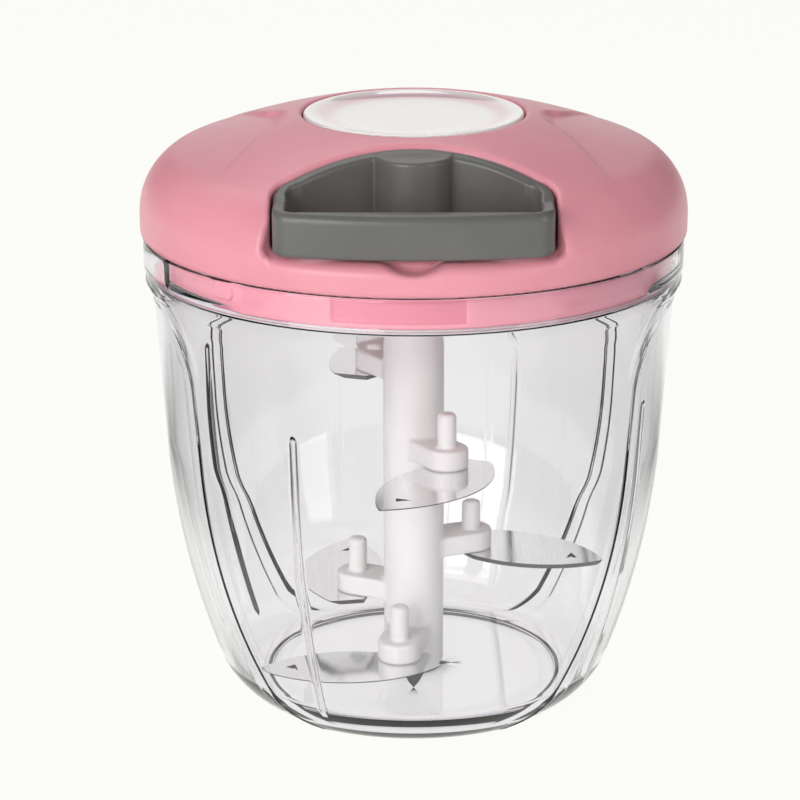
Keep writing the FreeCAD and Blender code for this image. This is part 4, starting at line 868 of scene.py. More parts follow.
def bent_outline(corners: Sequence[Point], step: float = 0.6) -> np.ndarray:
    """Closed outline whose sides are straight or arcs that bulge to the right of their direction.

    Args:
        corners: x, y and the radius of the arc to the next corner, or zero where that side is straight.
        step: longest run between two points in mm.

    Returns:
        The points of the outline.
    """
    points = []
    for index, (x, y, bend) in enumerate(corners):
        start = np.array([x, y])
        end = np.array(corners[(index + 1) % len(corners)][:2])
        points.append(start)
        if bend == 0.0:
            continue
        centre = arc_centre(start, end, bend)
        low = math.atan2(*(start - centre)[::-1])
        turn = 2 * math.asin(min(np.linalg.norm(end - start) / (2 * bend), 1.0))
        steps = max(int(math.ceil(bend * turn / step)), 2)
        for part in range(1, steps):
            angle = low + turn * part / steps
            points.append(centre + bend * np.array([math.cos(angle), math.sin(angle)]))
    return np.array(points)


def outline_distance(corners: np.ndarray, x: np.ndarray, y: np.ndarray) -> np.ndarray:
    """Signed distance to a closed outline in its plane, negative inside.

    Args:
        corners: points of the outline.
        x: first coordinates of the points to measure.
        y: their second coordinates.

    Returns:
        The distance of each point.
    """
    nearest = np.full(x.shape, np.inf)
    inside = np.zeros(x.shape, bool)
    for start, end in zip(corners, np.roll(corners, -1, axis=0)):
        edge = end - start
        from_x, from_y = x - start[0], y - start[1]
        along = np.clip((from_x * edge[0] + from_y * edge[1]) / (edge @ edge), 0.0, 1.0)
        nearest = np.minimum(nearest, (from_x - along * edge[0]) ** 2 + (from_y - along * edge[1]) ** 2)
        if edge[1] != 0.0:
            crosses = (start[1] > y) != (end[1] > y)
            inside ^= crosses & (from_x < edge[0] * from_y / edge[1])
    nearest = np.sqrt(nearest)
    return np.where(inside, -nearest, nearest)

class Skin:
    """Even net of faces on the surface where a field of distances is zero.

    Attributes:
        REACH: half the distance in mm over which the field's slope is measured.
        LEAST: least square of the slope that a point is moved by.
        FAINT: least slope that counts as a direction.
    """

    REACH = 0.02
    LEAST = 0.05
    FAINT = 0.1

    def __init__(self, field_of: Field, low: Point, high: Point, cell: float) -> None:
        """Keep the field and sample it on a grid.

        Args:
            field_of: distance to the body at each point, in mm.
            low: lowest corner of the box that holds the body.
            high: highest corner of that box.
            cell: size of a face in mm.
        """
        self.field_of = field_of
        self.cell = cell
        self.origin = np.array(low) - 2 * cell
        counts = [int(math.ceil((top - base) / cell)) + 5 for base, top in zip(self.origin, high)]
        axes = [self.origin[axis] + cell * np.arange(counts[axis]) for axis in range(3)]
        self.values = np.empty(counts)
        flat_x, flat_y = np.meshgrid(axes[0], axes[1], indexing="ij")
        for layer, height in enumerate(axes[2]):
            points = np.stack([flat_x.ravel(), flat_y.ravel(), np.full(flat_x.size, height)], axis=1)
            self.values[:, :, layer] = field_of(points).reshape(flat_x.shape)

    def slope(self, points: np.ndarray) -> np.ndarray:
        """Gradient of the field.

        Args:
            points: where to measure it.

        Returns:
            The gradient at each point.
        """
        slope = np.empty_like(points)
        for axis in range(3):
            shift = np.zeros(3)
            shift[axis] = self.REACH
            rise = self.field_of(points + shift) - self.field_of(points - shift)
            slope[:, axis] = rise / (2 * self.REACH)
        return slope

    def settle(self, points: np.ndarray) -> np.ndarray:
        """Move points along the gradient on to the surface.

        Args:
            points: points near the surface.

        Returns:
            The moved points.
        """
        slope = self.slope(points)
        size = np.maximum((slope ** 2).sum(axis=1), self.LEAST)
        step = np.clip(self.field_of(points) / size, -self.cell, self.cell)
        return points - step[:, None] * slope

    def crossings(self, cells: np.ndarray) -> np.ndarray:
        """Mean of the places where a cell's edges cross the surface.

        Args:
            cells: grid numbers of the cells.

        Returns:
            One point for each cell, in grid steps.
        """
        total = np.zeros(cells.shape)
        count = np.zeros(len(cells))
        for axis in range(3):
            for corner in range(4):
                offset = np.zeros(3, int)
                offset[(axis + 1) % 3] = corner & 1
                offset[(axis + 2) % 3] = corner >> 1
                start = cells + offset
                end = start.copy()
                end[:, axis] += 1
                low, high = self.values[tuple(start.T)], self.values[tuple(end.T)]
                cut = (low < 0) != (high < 0)
                part = np.where(cut, low / np.where(cut, low - high, 1.0), 0.0)
                place = start.astype(float)
                place[:, axis] += part
                total[cut] += place[cut]
                count += cut
        return total / count[:, None]

    def build(self, name: str, even: int = 3) -> bpy.types.Object:
        """Make the piece.

        Args:
            name: name of the piece.
            even: rounds that spread the points evenly over the surface.

        Returns:
            The new object.
        """
        solid = self.values < 0
        size = [count - 1 for count in solid.shape]
        inside = np.zeros(size, int)
        for corner in range(8):
            shift = (corner & 1, (corner >> 1) & 1, corner >> 2)
            inside += solid[tuple(slice(shift[axis], shift[axis] + size[axis]) for axis in range(3))]
        mixed = (inside > 0) & (inside < 8)
        cells = np.argwhere(mixed)
        number = np.full(size, -1)
        number[mixed] = np.arange(len(cells))
        points = self.origin + self.cell * self.crossings(cells)
        quads = np.concatenate([self.quads_along(axis, solid, number) for axis in range(3)])
        points = self.settle(self.settle(points))
        for _ in range(even):
            points = self.settle(points + 0.5 * self.drift(points, quads))
        return mesh_piece(name, points, quads)

    def quads_along(self, axis: int, solid: np.ndarray, number: np.ndarray) -> np.ndarray:
        """Faces that cross the grid edges of one direction.

        Args:
            axis: number of the direction.
            solid: whether each grid point is inside.
            number: number of each cell's point.

        Returns:
            The faces, turned outward.
        """
        second, third = (axis + 1) % 3, (axis + 2) % 3
        near = [slice(1, -1)] * 3
        far = [slice(1, -1)] * 3
        near[axis], far[axis] = slice(0, -1), slice(1, None)
        start, end = solid[tuple(near)], solid[tuple(far)]
        edges = np.argwhere(start != end)
        leaving = start[tuple(edges.T)]
        base = edges + 1
        base[:, axis] -= 1
        corners = []
        for step_second, step_third in ((-1, -1), (0, -1), (0, 0), (-1, 0)):
            cell = base.copy()
            cell[:, second] += step_second
            cell[:, third] += step_third
            corners.append(number[tuple(cell.T)])
        quads = np.stack(corners, axis=1)
        quads[~leaving] = quads[~leaving][:, ::-1]
        return quads

    def drift(self, points: np.ndarray, quads: np.ndarray) -> np.ndarray:
        """How far each point is from the middle of its neighbours, along the surface.

        Args:
            points: places of the points.
            quads: faces that join them.

        Returns:
            The drift of each point.
        """
        total = np.zeros(points.shape)
        count = np.zeros(len(points))
        for corner in range(4):
            here, after = quads[:, corner], quads[:, (corner + 1) % 4]
            for own, other in ((here, after), (after, here)):
                for axis in range(3):
                    total[:, axis] += np.bincount(own, points[other, axis], len(points))
                count += np.bincount(own, minlength=len(points))
        drift = total / np.maximum(count, 1)[:, None] - points
        slope = self.slope(points)
        slope /= np.maximum(np.linalg.norm(slope, axis=1), self.FAINT)[:, None]
        return drift - (drift * slope).sum(axis=1)[:, None] * slope


@dataclass
class ClearBowl:
    """Clear moulded bowl, one closed skin; sizes in mm.

    Attributes:
        rim: outer radius of the rim band.
        neck: outer radius below the rim band.
        shoulder: outer radius where the side turns straight.
        knuckle: outer radius over the base bend.
        foot: outer radius of the foot.
        height: height of the rim.
        wall: thickness of the side.
        neck_height: height at which the rim band starts.
        shoulder_height: height at which the side turns straight.
        knuckle_height: height at which the base bend ends.
        side_bend: radius of the bowed side in section.
        knuckle_bend: radius of the base bend in section.
        grip_half: half width of the grip panels.
        grip_top: height of their arch.
        grip_corner: radius of the arch's corners.
        grip_depth: depth of the panels.
        grip_edge: half width of the rounded edge round a panel.
        grip_bead: how far the bead round a panel stands out.
        grip_step: distance from a panel's edge to its inner step.
        grip_inner: depth of that step.
        rib_count: number of ribs.
        rib_angle: direction of the first rib in degrees.
        rib_top: height of the rib tips.
        rib_depth: how far a rib stands in.
        rib_half: half width of a rib.
        rib_tip: length of its round end.
        rib_across: distances across a rib, as shares of its half width, where its height is given.
        rib_shares: share of its full height at each of them.
        rim_inside: inner radius of the rim.
        rim_bend: rounding of its top.
        ledge: height of the ledge inside the rim.
        ledge_width: width of the ledge.
        lug_angle: direction of the first lug's mouth in degrees.
        lug_count: number of lugs and channels.
        channel_half: half angle of a lug's mouth in degrees.
        twist: angle over which the lid turns in the channels.
        channel_depth: depth of the channels.
        channel_soft: half angle of the slope at a channel's end.
        channel_ease: half angle that is added for it.
        channel_bottom: lower edge of the channels.
        channel_top: their upper edge, away from the mouths.
        floor_top: height of the floor.
        hub: outer radius of the hub for the pin.
        hub_top: top of the hub.
        pin_hole: radius of its hole.
        pin_floor: bottom of its hole.
        foot_inner: inner radius of the foot ring.
        foot_hollow: height of the hollow inside it.
    """

    rim: float = 62.4
    neck: float = 61.9
    shoulder: float = 59.2
    knuckle: float = 47.3
    foot: float = 40.2
    height: float = 110.8
    wall: float = 2.4
    neck_height: float = 103.3
    shoulder_height: float = 62.0
    knuckle_height: float = 7.8
    side_bend: float = 187.0
    knuckle_bend: float = 20.0
    grip_half: float = 34.0
    grip_top: float = 99.5
    grip_corner: float = 18.0
    grip_depth: float = 0.9
    grip_edge: float = 0.55
    grip_bead: float = 0.32
    grip_step: float = 3.4
    grip_inner: float = 0.35
    rib_count: int = 4
    rib_angle: float = 63.0
    rib_top: float = 77.0
    rib_depth: float = 1.5
    rib_half: float = 0.85
    rib_tip: float = 1.6
    rib_across: Tuple[float, ...] = (0.0, 0.25, 0.5, 0.68, 0.8, 0.9, 1.02, 1.3)
    rib_shares: Tuple[float, ...] = (1.0, 0.97, 0.86, 0.68, 0.45, 0.2, 0.05, 0.0)
    rim_inside: float = 60.0
    rim_bend: float = 0.6
    ledge: float = 102.4
    ledge_width: float = 1.8
    lug_angle: float = 107.0
    lug_count: int = 3
    channel_half: float = 3.48
    twist: float = 16.0
    channel_depth: float = 0.62
    channel_soft: float = 1.6
    channel_ease: float = 0.6
    channel_bottom: float = 105.6
    channel_top: float = 110.4
    floor_top: float = 3.5
    hub: float = 5.0
    hub_top: float = 9.0
    pin_hole: float = 2.52
    pin_floor: float = 2.5
    foot_inner: float = 34.8
    foot_hollow: float = 1.2

    @staticmethod
    def section(height: float, corners: Sequence[Corner], bends: Corner) -> float:
        """Radius of a side at one height: an arc over the foot, a bowed side and a straight neck.

        Args:
            height: the height.
            corners: radius and height of the ends of the three runs, rising.
            bends: radius in section of the arc and of the bowed side.

        Returns:
            The radius.
        """
        foot, knuckle, shoulder, neck = corners
        if height >= shoulder[1]:
            return float(np.interp(height, [shoulder[1], neck[1]], [shoulder[0], neck[0]]))
        low, high, bend = (foot, knuckle, bends[0]) if height < knuckle[1] else (knuckle, shoulder, bends[1])
        centre = arc_centre(np.array(low), np.array(high), bend)
        return float(centre[0] + math.sqrt(max(bend ** 2 - (height - centre[1]) ** 2, 0.0)))

    def outer(self, height: float) -> float:
        """Outer radius of the side at a height.

        Args:
            height: the height.

        Returns:
            The radius.
        """
        corners = [(self.foot, 0.0), (self.knuckle, self.knuckle_height),
                   (self.shoulder, self.shoulder_height), (self.neck, self.neck_height)]
        return self.section(height, corners, (self.knuckle_bend, self.side_bend))

    def inner(self, height: float) -> float:
        """Inner radius of the side at a height.

        Args:
            height: the height.

        Returns:
            The radius.
        """
        wall = self.wall
        corners = [(self.foot - wall / 3, self.floor_top),
                   (self.knuckle - wall, self.knuckle_height + wall / 3),
                   (self.shoulder - wall, self.shoulder_height),
                   (self.rim_inside - self.ledge_width, self.ledge)]
        return self.section(height, corners, (self.knuckle_bend - wall, self.side_bend - wall))

    def grip_half_at(self, height: float) -> float:
        """Half width of the grip panels at a height.

        Args:
            height: height in mm.

        Returns:
            The half width in mm.
        """
        rise = min(max(height - (self.grip_top - self.grip_corner), 0.0), self.grip_corner)
        return self.grip_half - self.grip_corner + math.sqrt(self.grip_corner ** 2 - rise ** 2)

    def grip_cut(self, y: np.ndarray, height: float) -> np.ndarray:
        """How deep the grip panels lie, with the bead round them and their inner step.

        Args:
            y: distance of the points from the panel's middle.
            height: their height.

        Returns:
            The depth at each point.
        """
        across = np.abs(y) - (self.grip_half - self.grip_corner)
        up = height - (self.grip_top - self.grip_corner)
        away = np.hypot(np.maximum(across, 0.0), np.maximum(up, 0.0)) - self.grip_corner
        away = away + np.minimum(np.maximum(across, up), 0.0)
        edge = self.grip_edge
        cut = self.grip_depth * smooth_step(away, edge, -edge)
        cut += self.grip_inner * smooth_step(away + self.grip_step, edge, -edge)
        bead = smooth_step(away, 3.2 * edge, 1.9 * edge) * smooth_step(away, 0.6 * edge, 1.9 * edge)
        return cut - self.grip_bead * bead

    def grip_angles(self, radius: float, height: float) -> np.ndarray:
        """Directions of a loop's points, crowded at the edges of both grip panels.

        Args:
            radius: radius of the loop.
            height: its height.

        Returns:
            The directions in radians, rising.
        """
        half = min(self.grip_half_at(height), radius * 0.93)
        edge = math.asin(half / radius)
        step = [-7.6, -7.0, -6.6, -6.2, -5.8, -5.4, -4.8, -3.4]
        rise = [-2.0, -1.2, -0.75, -0.5, -0.25, 0.0, 0.25, 0.5, 0.8, 1.2, 1.55, 1.9, 2.25, 2.6, 3.1, 3.8]
        spread = np.array(step + rise) * self.grip_edge
        cluster = edge + spread / (radius * math.cos(edge))
        inside = np.linspace(0.0, cluster[0], 18, endpoint=False)
        outside = np.linspace(cluster[-1], math.pi / 2, 19)[1:]
        quarter = np.concatenate([inside, cluster, outside])
        half_turn = np.concatenate([quarter, math.pi - quarter[-2::-1]])
        return np.concatenate([half_turn, math.pi + half_turn[1:-1]])

    def rib_angles(self, radius: float) -> np.ndarray:
        """Directions of a loop's points, crowded at the ribs.

        Args:
            radius: radius of the loop.

        Returns:
            The directions in radians, rising.
        """
        half = np.array(self.rib_across[1:] + (1.8,))
        across = np.concatenate([-half[::-1], [0.0], half])
        cluster = np.arcsin(across / radius)
        pitch = FULL_TURN / self.rib_count
        gap = np.linspace(cluster[-1], pitch + cluster[0], 44)[1:-1]
        first = math.radians(self.rib_angle)
        rows = [np.concatenate([cluster, gap]) + first + pitch * number for number in range(self.rib_count)]
        return rising(np.concatenate(rows))

    def rim_angles(self) -> np.ndarray:
        """Directions of the rim's points, crowded at the ends of the bayonet channels.

        Returns:
            The directions in radians, rising.
        """
        pitch = 360.0 / self.lug_count
        spread = np.linspace(-self.channel_soft, self.channel_soft, 11)
        half = self.channel_half + self.channel_ease
        ends = [-half - self.twist, -half, half]
        step = 1.6
        rows = []
        for number in range(self.lug_count):
            middle = self.lug_angle + number * pitch
            clusters = [middle + end + spread for end in ends]
            rows += clusters
            for low, high in zip(clusters, clusters[1:] + [clusters[0] + pitch]):
                rows.append(np.arange(low[-1] + step, high[0] - step / 2, step))
        return rising(np.radians(np.concatenate(rows)))

    def build_outside(self, loft: Loft) -> Tuple[np.ndarray, np.ndarray]:
        """Make the outer side from the middle of the underside up to the neck.

        Args:
            loft: skin to add to.

        Returns:
            The last loop's point numbers and directions.
        """
        inner, hollow = self.foot_inner, self.foot_hollow
        under = [(hub, hollow, 0.0) for hub in (4.0, 12.0, 20.0, 28.0, inner - 1.2)]
        under += [(inner - 0.35, hollow - 0.1, 0.0), (inner, hollow - 0.45, 0.0), (inner + 0.05, 0.45, 0.0),
                  (inner + 0.35, 0.1, 0.0), (inner + 0.9, 0.0, 0.0), (self.foot - 1.9, 0.0, 0.3),
                  (self.foot - 0.75, 0.0, 1.0), (self.foot - 0.25, 0.12, 1.0)]
        arch = self.grip_top - self.grip_corner
        heights = list(np.linspace(0.45, self.knuckle_height, 9)) + list(np.linspace(10.5, arch - 1.0, 34))
        turns = np.linspace(0.0, math.radians(48.0), 13)
        heights += [arch + self.grip_corner * math.sin(turn) for turn in turns]
        spread = (-7.4, -6.8, -6.4, -6.0, -5.6, -5.0, -4.0, -3.0, -2.0, -1.2, -0.8, -0.5, -0.25, 0.0, 0.25,
                  0.5, 0.8, 1.2, 1.55, 1.9, 2.25, 2.6, 3.2)
        heights += [self.grip_top + self.grip_edge * part for part in spread]
        heights += [102.2, self.neck_height - 0.25]
        loops = []
        for radius, height, share in under + [(self.outer(height), height, 1.0) for height in heights]:
            angle = self.grip_angles(radius, height)
            depth = share * self.grip_cut(radius * np.sin(angle), height)
            loops.append(loft.loop(radius - depth, angle, height))
        loft.fan(loops[0], hollow)
        loft.stack(loops)
        return loops[-1], angle

    def channel_share(self, angle: np.ndarray, height: float) -> np.ndarray:
        """How deep in a bayonet channel points are, from 0 outside to 1 at its bottom.

        Args:
            angle: directions of the points in radians.
            height: their height.

        Returns:
            The share at each point.
        """
        place = from_nearest(np.degrees(angle), self.lug_angle, 360.0 / self.lug_count)
        soft = self.channel_soft
        half = self.channel_half + self.channel_ease
        end = smooth_step(place, half + soft, half - soft)
        track = end * smooth_step(place, -half - self.twist - soft, -half - self.twist + soft)
        entry = end * smooth_step(place, -half - soft, -half + soft)
        above = smooth_step(height, self.channel_bottom - 1.9, self.channel_bottom + 0.6)
        below = smooth_step(height, self.channel_top + 0.4, self.channel_top - 0.8)
        return np.maximum(track * above * below, entry * above)

    def build_rim(self, loft: Loft, low: np.ndarray, low_angle: np.ndarray) -> Tuple[np.ndarray, np.ndarray]:
        """Make the rim band, over its top and down to the ledge.

        Args:
            loft: skin to add to.
            low: point numbers of the neck's loop.
            low_angle: its directions.

        Returns:
            The last loop's point numbers and directions.
        """
        angle = self.rim_angles()
        inside, bend = self.rim_inside, self.rim_bend
        top, edge = self.height - bend, inside - self.ledge_width
        rows = [(self.neck + 0.04, self.neck_height + 0.05), (self.neck + 0.3, self.neck_height + 0.26),
                (self.rim, self.neck_height + 0.62), (self.rim, 105.5), (self.rim, 108.0)]
        rows += quarter((self.rim - bend, top), bend, 0.0, 6)
        outside = len(rows)
        rows += quarter((inside + bend, top), bend, math.pi / 2, 6)
        rows += [(inside, height) for height in (109.9, 109.5, 109.1, 108.0)]
        rows += [(inside, height) for height in np.linspace(106.8, 102.8, 11)]
        channelled = range(outside, len(rows))
        rows += [(inside - 0.15, self.ledge + 0.15), (inside - 0.5, self.ledge), (edge + 0.35, self.ledge),
                 (edge + 0.1, self.ledge - 0.1)]
        loops = []
        for number, (radius, height) in enumerate(rows):
            if number in channelled:
                depth = self.channel_depth * self.channel_share(angle, height)
                grown = radius + np.minimum(depth, inside + self.channel_depth - radius)
                radius = np.where(depth > 0.0, grown, radius)
            loops.append(loft.loop(radius, angle, height))
        loft.stitch(low, low_angle, loops[0], angle)
        loft.stack(loops)
        return loops[-1], angle

    def rib_height(self, angle: np.ndarray, radius: float, height: float) -> np.ndarray:
        """How far the ribs stand in from the inner side.

        Args:
            angle: directions of the points in radians.
            radius: inner radius of the side there.
            height: their height.

        Returns:
            The height of the rib at each point.
        """
        proud = self.wall + self.rib_depth
        nose = (self.outer(height) if height > self.knuckle_height else self.knuckle) - proud
        full = max(radius - nose, 0.0)
        over = (height - (self.rib_top - self.rib_tip)) / self.rib_tip
        round_end = math.sqrt(max(1.0 - over ** 2, 0.0)) if over > 0.0 else 1.0
        full *= round_end
        place = from_nearest(angle, math.radians(self.rib_angle), FULL_TURN / self.rib_count)
        across = np.abs(radius * np.sin(place)) / (self.rib_half * max(round_end, 0.05))
        return full * np.interp(across, self.rib_across, self.rib_shares)

    def build_inside(self, loft: Loft, high: np.ndarray, high_angle: np.ndarray) -> None:
        """Make the inner side with its ribs, the floor and the hub for the pin.

        Args:
            loft: skin to add to.
            high: point numbers of the ledge's loop.
            high_angle: its directions.
        """
        heights = [self.ledge - 0.45] + list(np.linspace(99.5, self.rib_top + 0.6, 9))
        start = self.rib_top - self.rib_tip
        heights += [start + self.rib_tip * math.sin(part) for part in np.linspace(math.pi / 2, 0.0, 12)]
        heights += list(np.linspace(start - 2.0, 12.0, 30))
        heights += list(np.linspace(10.0, self.floor_top + 0.05, 14))
        loops = []
        for height in heights:
            radius = self.inner(height)
            angle = self.rib_angles(radius)
            loops.append(loft.loop(radius - self.rib_height(angle, radius, height), angle, height))
        first_angle = self.rib_angles(self.inner(heights[0]))
        floor, hub, top, hole = self.floor_top, self.hub, self.hub_top, self.pin_hole
        rows = [(radius, floor) for radius in (self.foot - self.wall / 3 - 1.6, 30.0, 20.0, 12.0, hub + 0.9)]
        rows += [(hub + 0.25, floor + 0.25), (hub, floor + 0.9), (hub, top - 0.5), (hub - 0.15, top - 0.15),
                 (hub - 0.5, top), (hole + 0.3, top), (hole, top - 0.3), (hole, self.pin_floor + 0.3),
                 (hole - 0.3, self.pin_floor)]
        loops += [loft.loop(radius, self.rib_angles(max(radius, 3.0)), height) for radius, height in rows]
        loft.stitch(high, high_angle, loops[0], first_angle)
        loft.stack(loops)
        loft.fan(loops[-1], self.pin_floor)

    def build(self, material: bpy.types.Material) -> bpy.types.Object:
        """Make the bowl and dress it.

        Args:
            material: the clear plastic.

        Returns:
            The bowl.
        """
        loft = Loft()
        neck, neck_angle = self.build_outside(loft)
        ledge, ledge_angle = self.build_rim(loft, neck, neck_angle)
        self.build_inside(loft, ledge, ledge_angle)
        return dress(loft.finish("clear_bowl"), material, "bowl", ["bowl"])

@dataclass
class PinkCover:
    """Domed cover with its cap seat, palm scoops, handle recess and hollow; sizes in mm.

    Attributes:
        radius: outer radius.
        bottom: lower edge.
        straight_top: top of the upright side.
        shoulder_bend: radius of the shoulder in section.
        brow: radius of the circle where the shoulder meets the crown.
        brow_height: height of that circle.
        crown_edge: radius of the cap's seat.
        crown_height: height of the seat's edge.
        crown_bend: radius of the crown in section.
        seat: height of the cap's seat.
        crown_under: underside of the crown.
        wall: thickness of the dome.
        scoop_start: distance from the axis at which the palm scoops start.
        scoop_drop: how far they lie below the crown's edge there.
        scoop_step: run of their first step.
        scoop_step_drop: drop of that step.
        scoop_end: their height at the brow.
        recess_gap: gap round the handle in its recess.
        recess_floor: floor of the recess.
        recess_wall: wall round the recess, inside the dome.
        recess_under: thickness of its floor.
        mouth_bevel: width of the bevels at the recess's mouth.
        bevel_fall: fall of the lower bevel over twice that width.
        bevel_start: how far behind the mouth the side bevels start.
        bevel_run: run of the side bevels.
        notch: radius of the finger notch.
        notch_height: height of its middle.
        boss_circle: radius of the circle of the screw bosses.
        boss_radius: radius of a boss.
        boss_count: number of bosses.
        boss_start: their lower end.
        cord_height: height of the cord's guide hole.
        cord_hole: its radius.
        cell: size of the net's faces.
    """

    radius: float = 63.0
    bottom: float = 111.1
    straight_top: float = 116.0
    shoulder_bend: float = 15.24
    brow: float = 54.0
    brow_height: float = 129.9
    crown_edge: float = 25.6
    crown_height: float = 138.25
    crown_bend: float = 200.0
    seat: float = 134.6
    crown_under: float = 131.4
    wall: float = 2.4
    scoop_start: float = 29.0
    scoop_drop: float = 0.75
    scoop_step: float = 3.0
    scoop_step_drop: float = 1.9
    scoop_end: float = 130.2
    recess_gap: float = 0.7
    recess_floor: float = 118.3
    recess_wall: float = 2.0
    recess_under: float = 3.2
    mouth_bevel: float = 2.4
    bevel_fall: float = 2.88
    bevel_start: float = 4.32
    bevel_run: float = 6.24
    notch: float = 9.2
    notch_height: float = 125.2
    boss_circle: float = 47.0
    boss_radius: float = 4.2
    boss_count: int = 3
    boss_start: float = 106.6
    cord_height: float = 127.0
    cord_hole: float = 1.9
    cell: float = 0.8

    def __post_init__(self) -> None:
        """Work out the centres of the section's arcs and the outlines seen from above."""
        self.shoulder_centre = (self.radius - self.shoulder_bend, self.straight_top)
        brow = np.array([self.brow, self.brow_height])
        self.crown_centre = arc_centre(brow, np.array([self.crown_edge, self.crown_height]), self.crown_bend)
        self.recess_outline = bent_outline(handle_outline(self.recess_gap, True))
        self.scoop_outline = bent_outline([
            (34.0, -9.0, 0.0), (49.0, -48.0, 0.0), (66.0, -48.0, 0.0), (66.0, 48.0, 0.0),
            (49.0, 48.0, 0.0), (34.0, 9.0, 10.6),
        ])

    def crown_at(self, radius: np.ndarray) -> np.ndarray:
        """Height of the crown at each distance from the axis.

        Args:
            radius: the distances.

        Returns:
            The heights.
        """
        across, up = self.crown_centre
        return up + np.sqrt(np.maximum(self.crown_bend ** 2 - (radius - across) ** 2, 0.0))

    def dome(self, radius: np.ndarray, height: np.ndarray) -> np.ndarray:
        """Distance to the dome without its recesses.

        Args:
            radius: distance of the points from the axis.
            height: their heights.

        Returns:
            The distance of each point.
        """
        across, up = radius - self.shoulder_centre[0], height - self.shoulder_centre[1]
        side = radius - self.radius
        shoulder = np.hypot(across, up) - self.shoulder_bend
        crown = np.hypot(radius - self.crown_centre[0], height - self.crown_centre[1]) - self.crown_bend
        brow_across = self.brow - self.shoulder_centre[0]
        brow_up = self.brow_height - self.shoulder_centre[1]
        over_crown = brow_across * up - brow_up * across > 0.0
        return np.where(over_crown, crown, np.where(up < 0.0, side, shoulder))

    def scoops(self, points: np.ndarray, radius: np.ndarray) -> np.ndarray:
        """Distance to the material that both palm scoops take away.

        Args:
            points: the points.
            radius: their distance from the axis.

        Returns:
            The distance of each point.
        """
        step = self.scoop_start + self.scoop_step
        high = self.crown_height - self.scoop_drop
        low = high - self.scoop_step_drop
        slope = (low - self.scoop_end) / (self.brow - step)
        floor = np.interp(radius, [self.scoop_start, step, self.brow], [high, low, self.scoop_end])
        floor -= np.maximum(radius - self.brow, 0.0) * slope
        plan = outline_distance(self.scoop_outline, np.abs(points[:, 0]), points[:, 1])
        return both_rounded(plan, floor - points[:, 2], 1.0)

    def mouth(self, points: np.ndarray, radius: np.ndarray) -> np.ndarray:
        """Distance to the handle's recess with the bevels and the finger notch at its mouth.

        Args:
            points: the points.
            radius: their distance from the axis.

        Returns:
            The distance of each point.
        """
        across, depth, height = np.abs(points[:, 0]), points[:, 1], points[:, 2]
        plan = outline_distance(self.recess_outline, points[:, 0], depth)
        recess = both_rounded(plan, self.recess_floor - height, 1.6)
        side = HANDLE_HALF + self.recess_gap
        start = math.sqrt(self.radius ** 2 - side ** 2) - self.bevel_start
        run = math.hypot(2 * self.mouth_bevel, self.bevel_run)
        bevel = (self.bevel_run * (across - side) + 2 * self.mouth_bevel * (depth + start)) / run
        bevel = np.maximum(bevel, depth + start)
        bevel = both_rounded(bevel, self.recess_floor - height, 1.2)
        fall = self.bevel_fall / (2 * self.mouth_bevel)
        lower = self.recess_floor - fall * (radius - self.radius + self.mouth_bevel) - height
        lower = lower / math.hypot(1.0, fall)
        lower = np.maximum(lower, np.maximum(across - side, depth))
        lower = np.maximum(lower, self.radius - self.mouth_bevel - radius)
        notch = np.hypot(across, height - self.notch_height) - self.notch
        notch = np.maximum(notch, depth + self.radius - 5.8)
        found = either_filleted(np.minimum(recess, bevel), lower, 0.9)
        return either_filleted(found, notch, 1.2)

    def hollow(self, points: np.ndarray, radius: np.ndarray, dome: np.ndarray) -> np.ndarray:
        """Distance to the hollow, less the recess case and the screw bosses that stand in it.

        Args:
            points: the points.
            radius: their distance from the axis.
            dome: their distance to the dome.

        Returns:
            The distance of each point.
        """
        inside = np.where(points[:, 2] < self.straight_top, radius - self.radius, dome) + self.wall
        inside = both_rounded(inside, points[:, 2] - self.crown_under, 1.0)
        plan = outline_distance(self.recess_outline, points[:, 0], points[:, 1]) - self.recess_wall
        standing = np.maximum(plan, self.recess_floor - self.recess_under - points[:, 2])
        for number in range(self.boss_count):
            along, across = along_across(points, math.radians(90.0 + 360.0 * number / self.boss_count))
            post = np.hypot(along - self.boss_circle, across) - self.boss_radius
            standing = np.minimum(standing, np.maximum(post, self.boss_start - points[:, 2]))
        return both_rounded(inside, -standing, 0.8)

    def distance(self, points: np.ndarray) -> np.ndarray:
        """Distance to the cover.

        Args:
            points: the points.

        Returns:
            The distance of each point.
        """
        radius = np.hypot(points[:, 0], points[:, 1])
        height = points[:, 2]
        dome = self.dome(radius, height)
        seat = np.maximum(radius - self.crown_edge, self.seat - height)
        cover = both_rounded(both_rounded(dome, self.bottom - height, 0.9), -seat, 0.9)
        cover = both_rounded(cover, -self.scoops(points, radius), 0.9)
        cover = both_rounded(cover, -self.mouth(points, radius), 0.9)
        guide = np.maximum(np.hypot(points[:, 0], height - self.cord_height) - self.cord_hole,
                           np.abs(points[:, 1] + 29.0) - 4.0)
        cover = np.maximum(cover, -guide)
        return np.maximum(cover, -self.hollow(points, radius, dome))

    def build(self, material: bpy.types.Material) -> bpy.types.Object:
        """Make the cover and dress it.

        Args:
            material: the pink plastic.

        Returns:
            The cover.
        """
        half = self.radius
        net = Skin(self.distance, (-half, -half, self.bottom), (half, half, self.crown_height), self.cell)
        return dress(net.build("domed_cover"), material, "lid", ["top_cover"])

HANDLE_HALF = 30.2
HANDLE_BACK = (26.0, 39.6, 43.6)


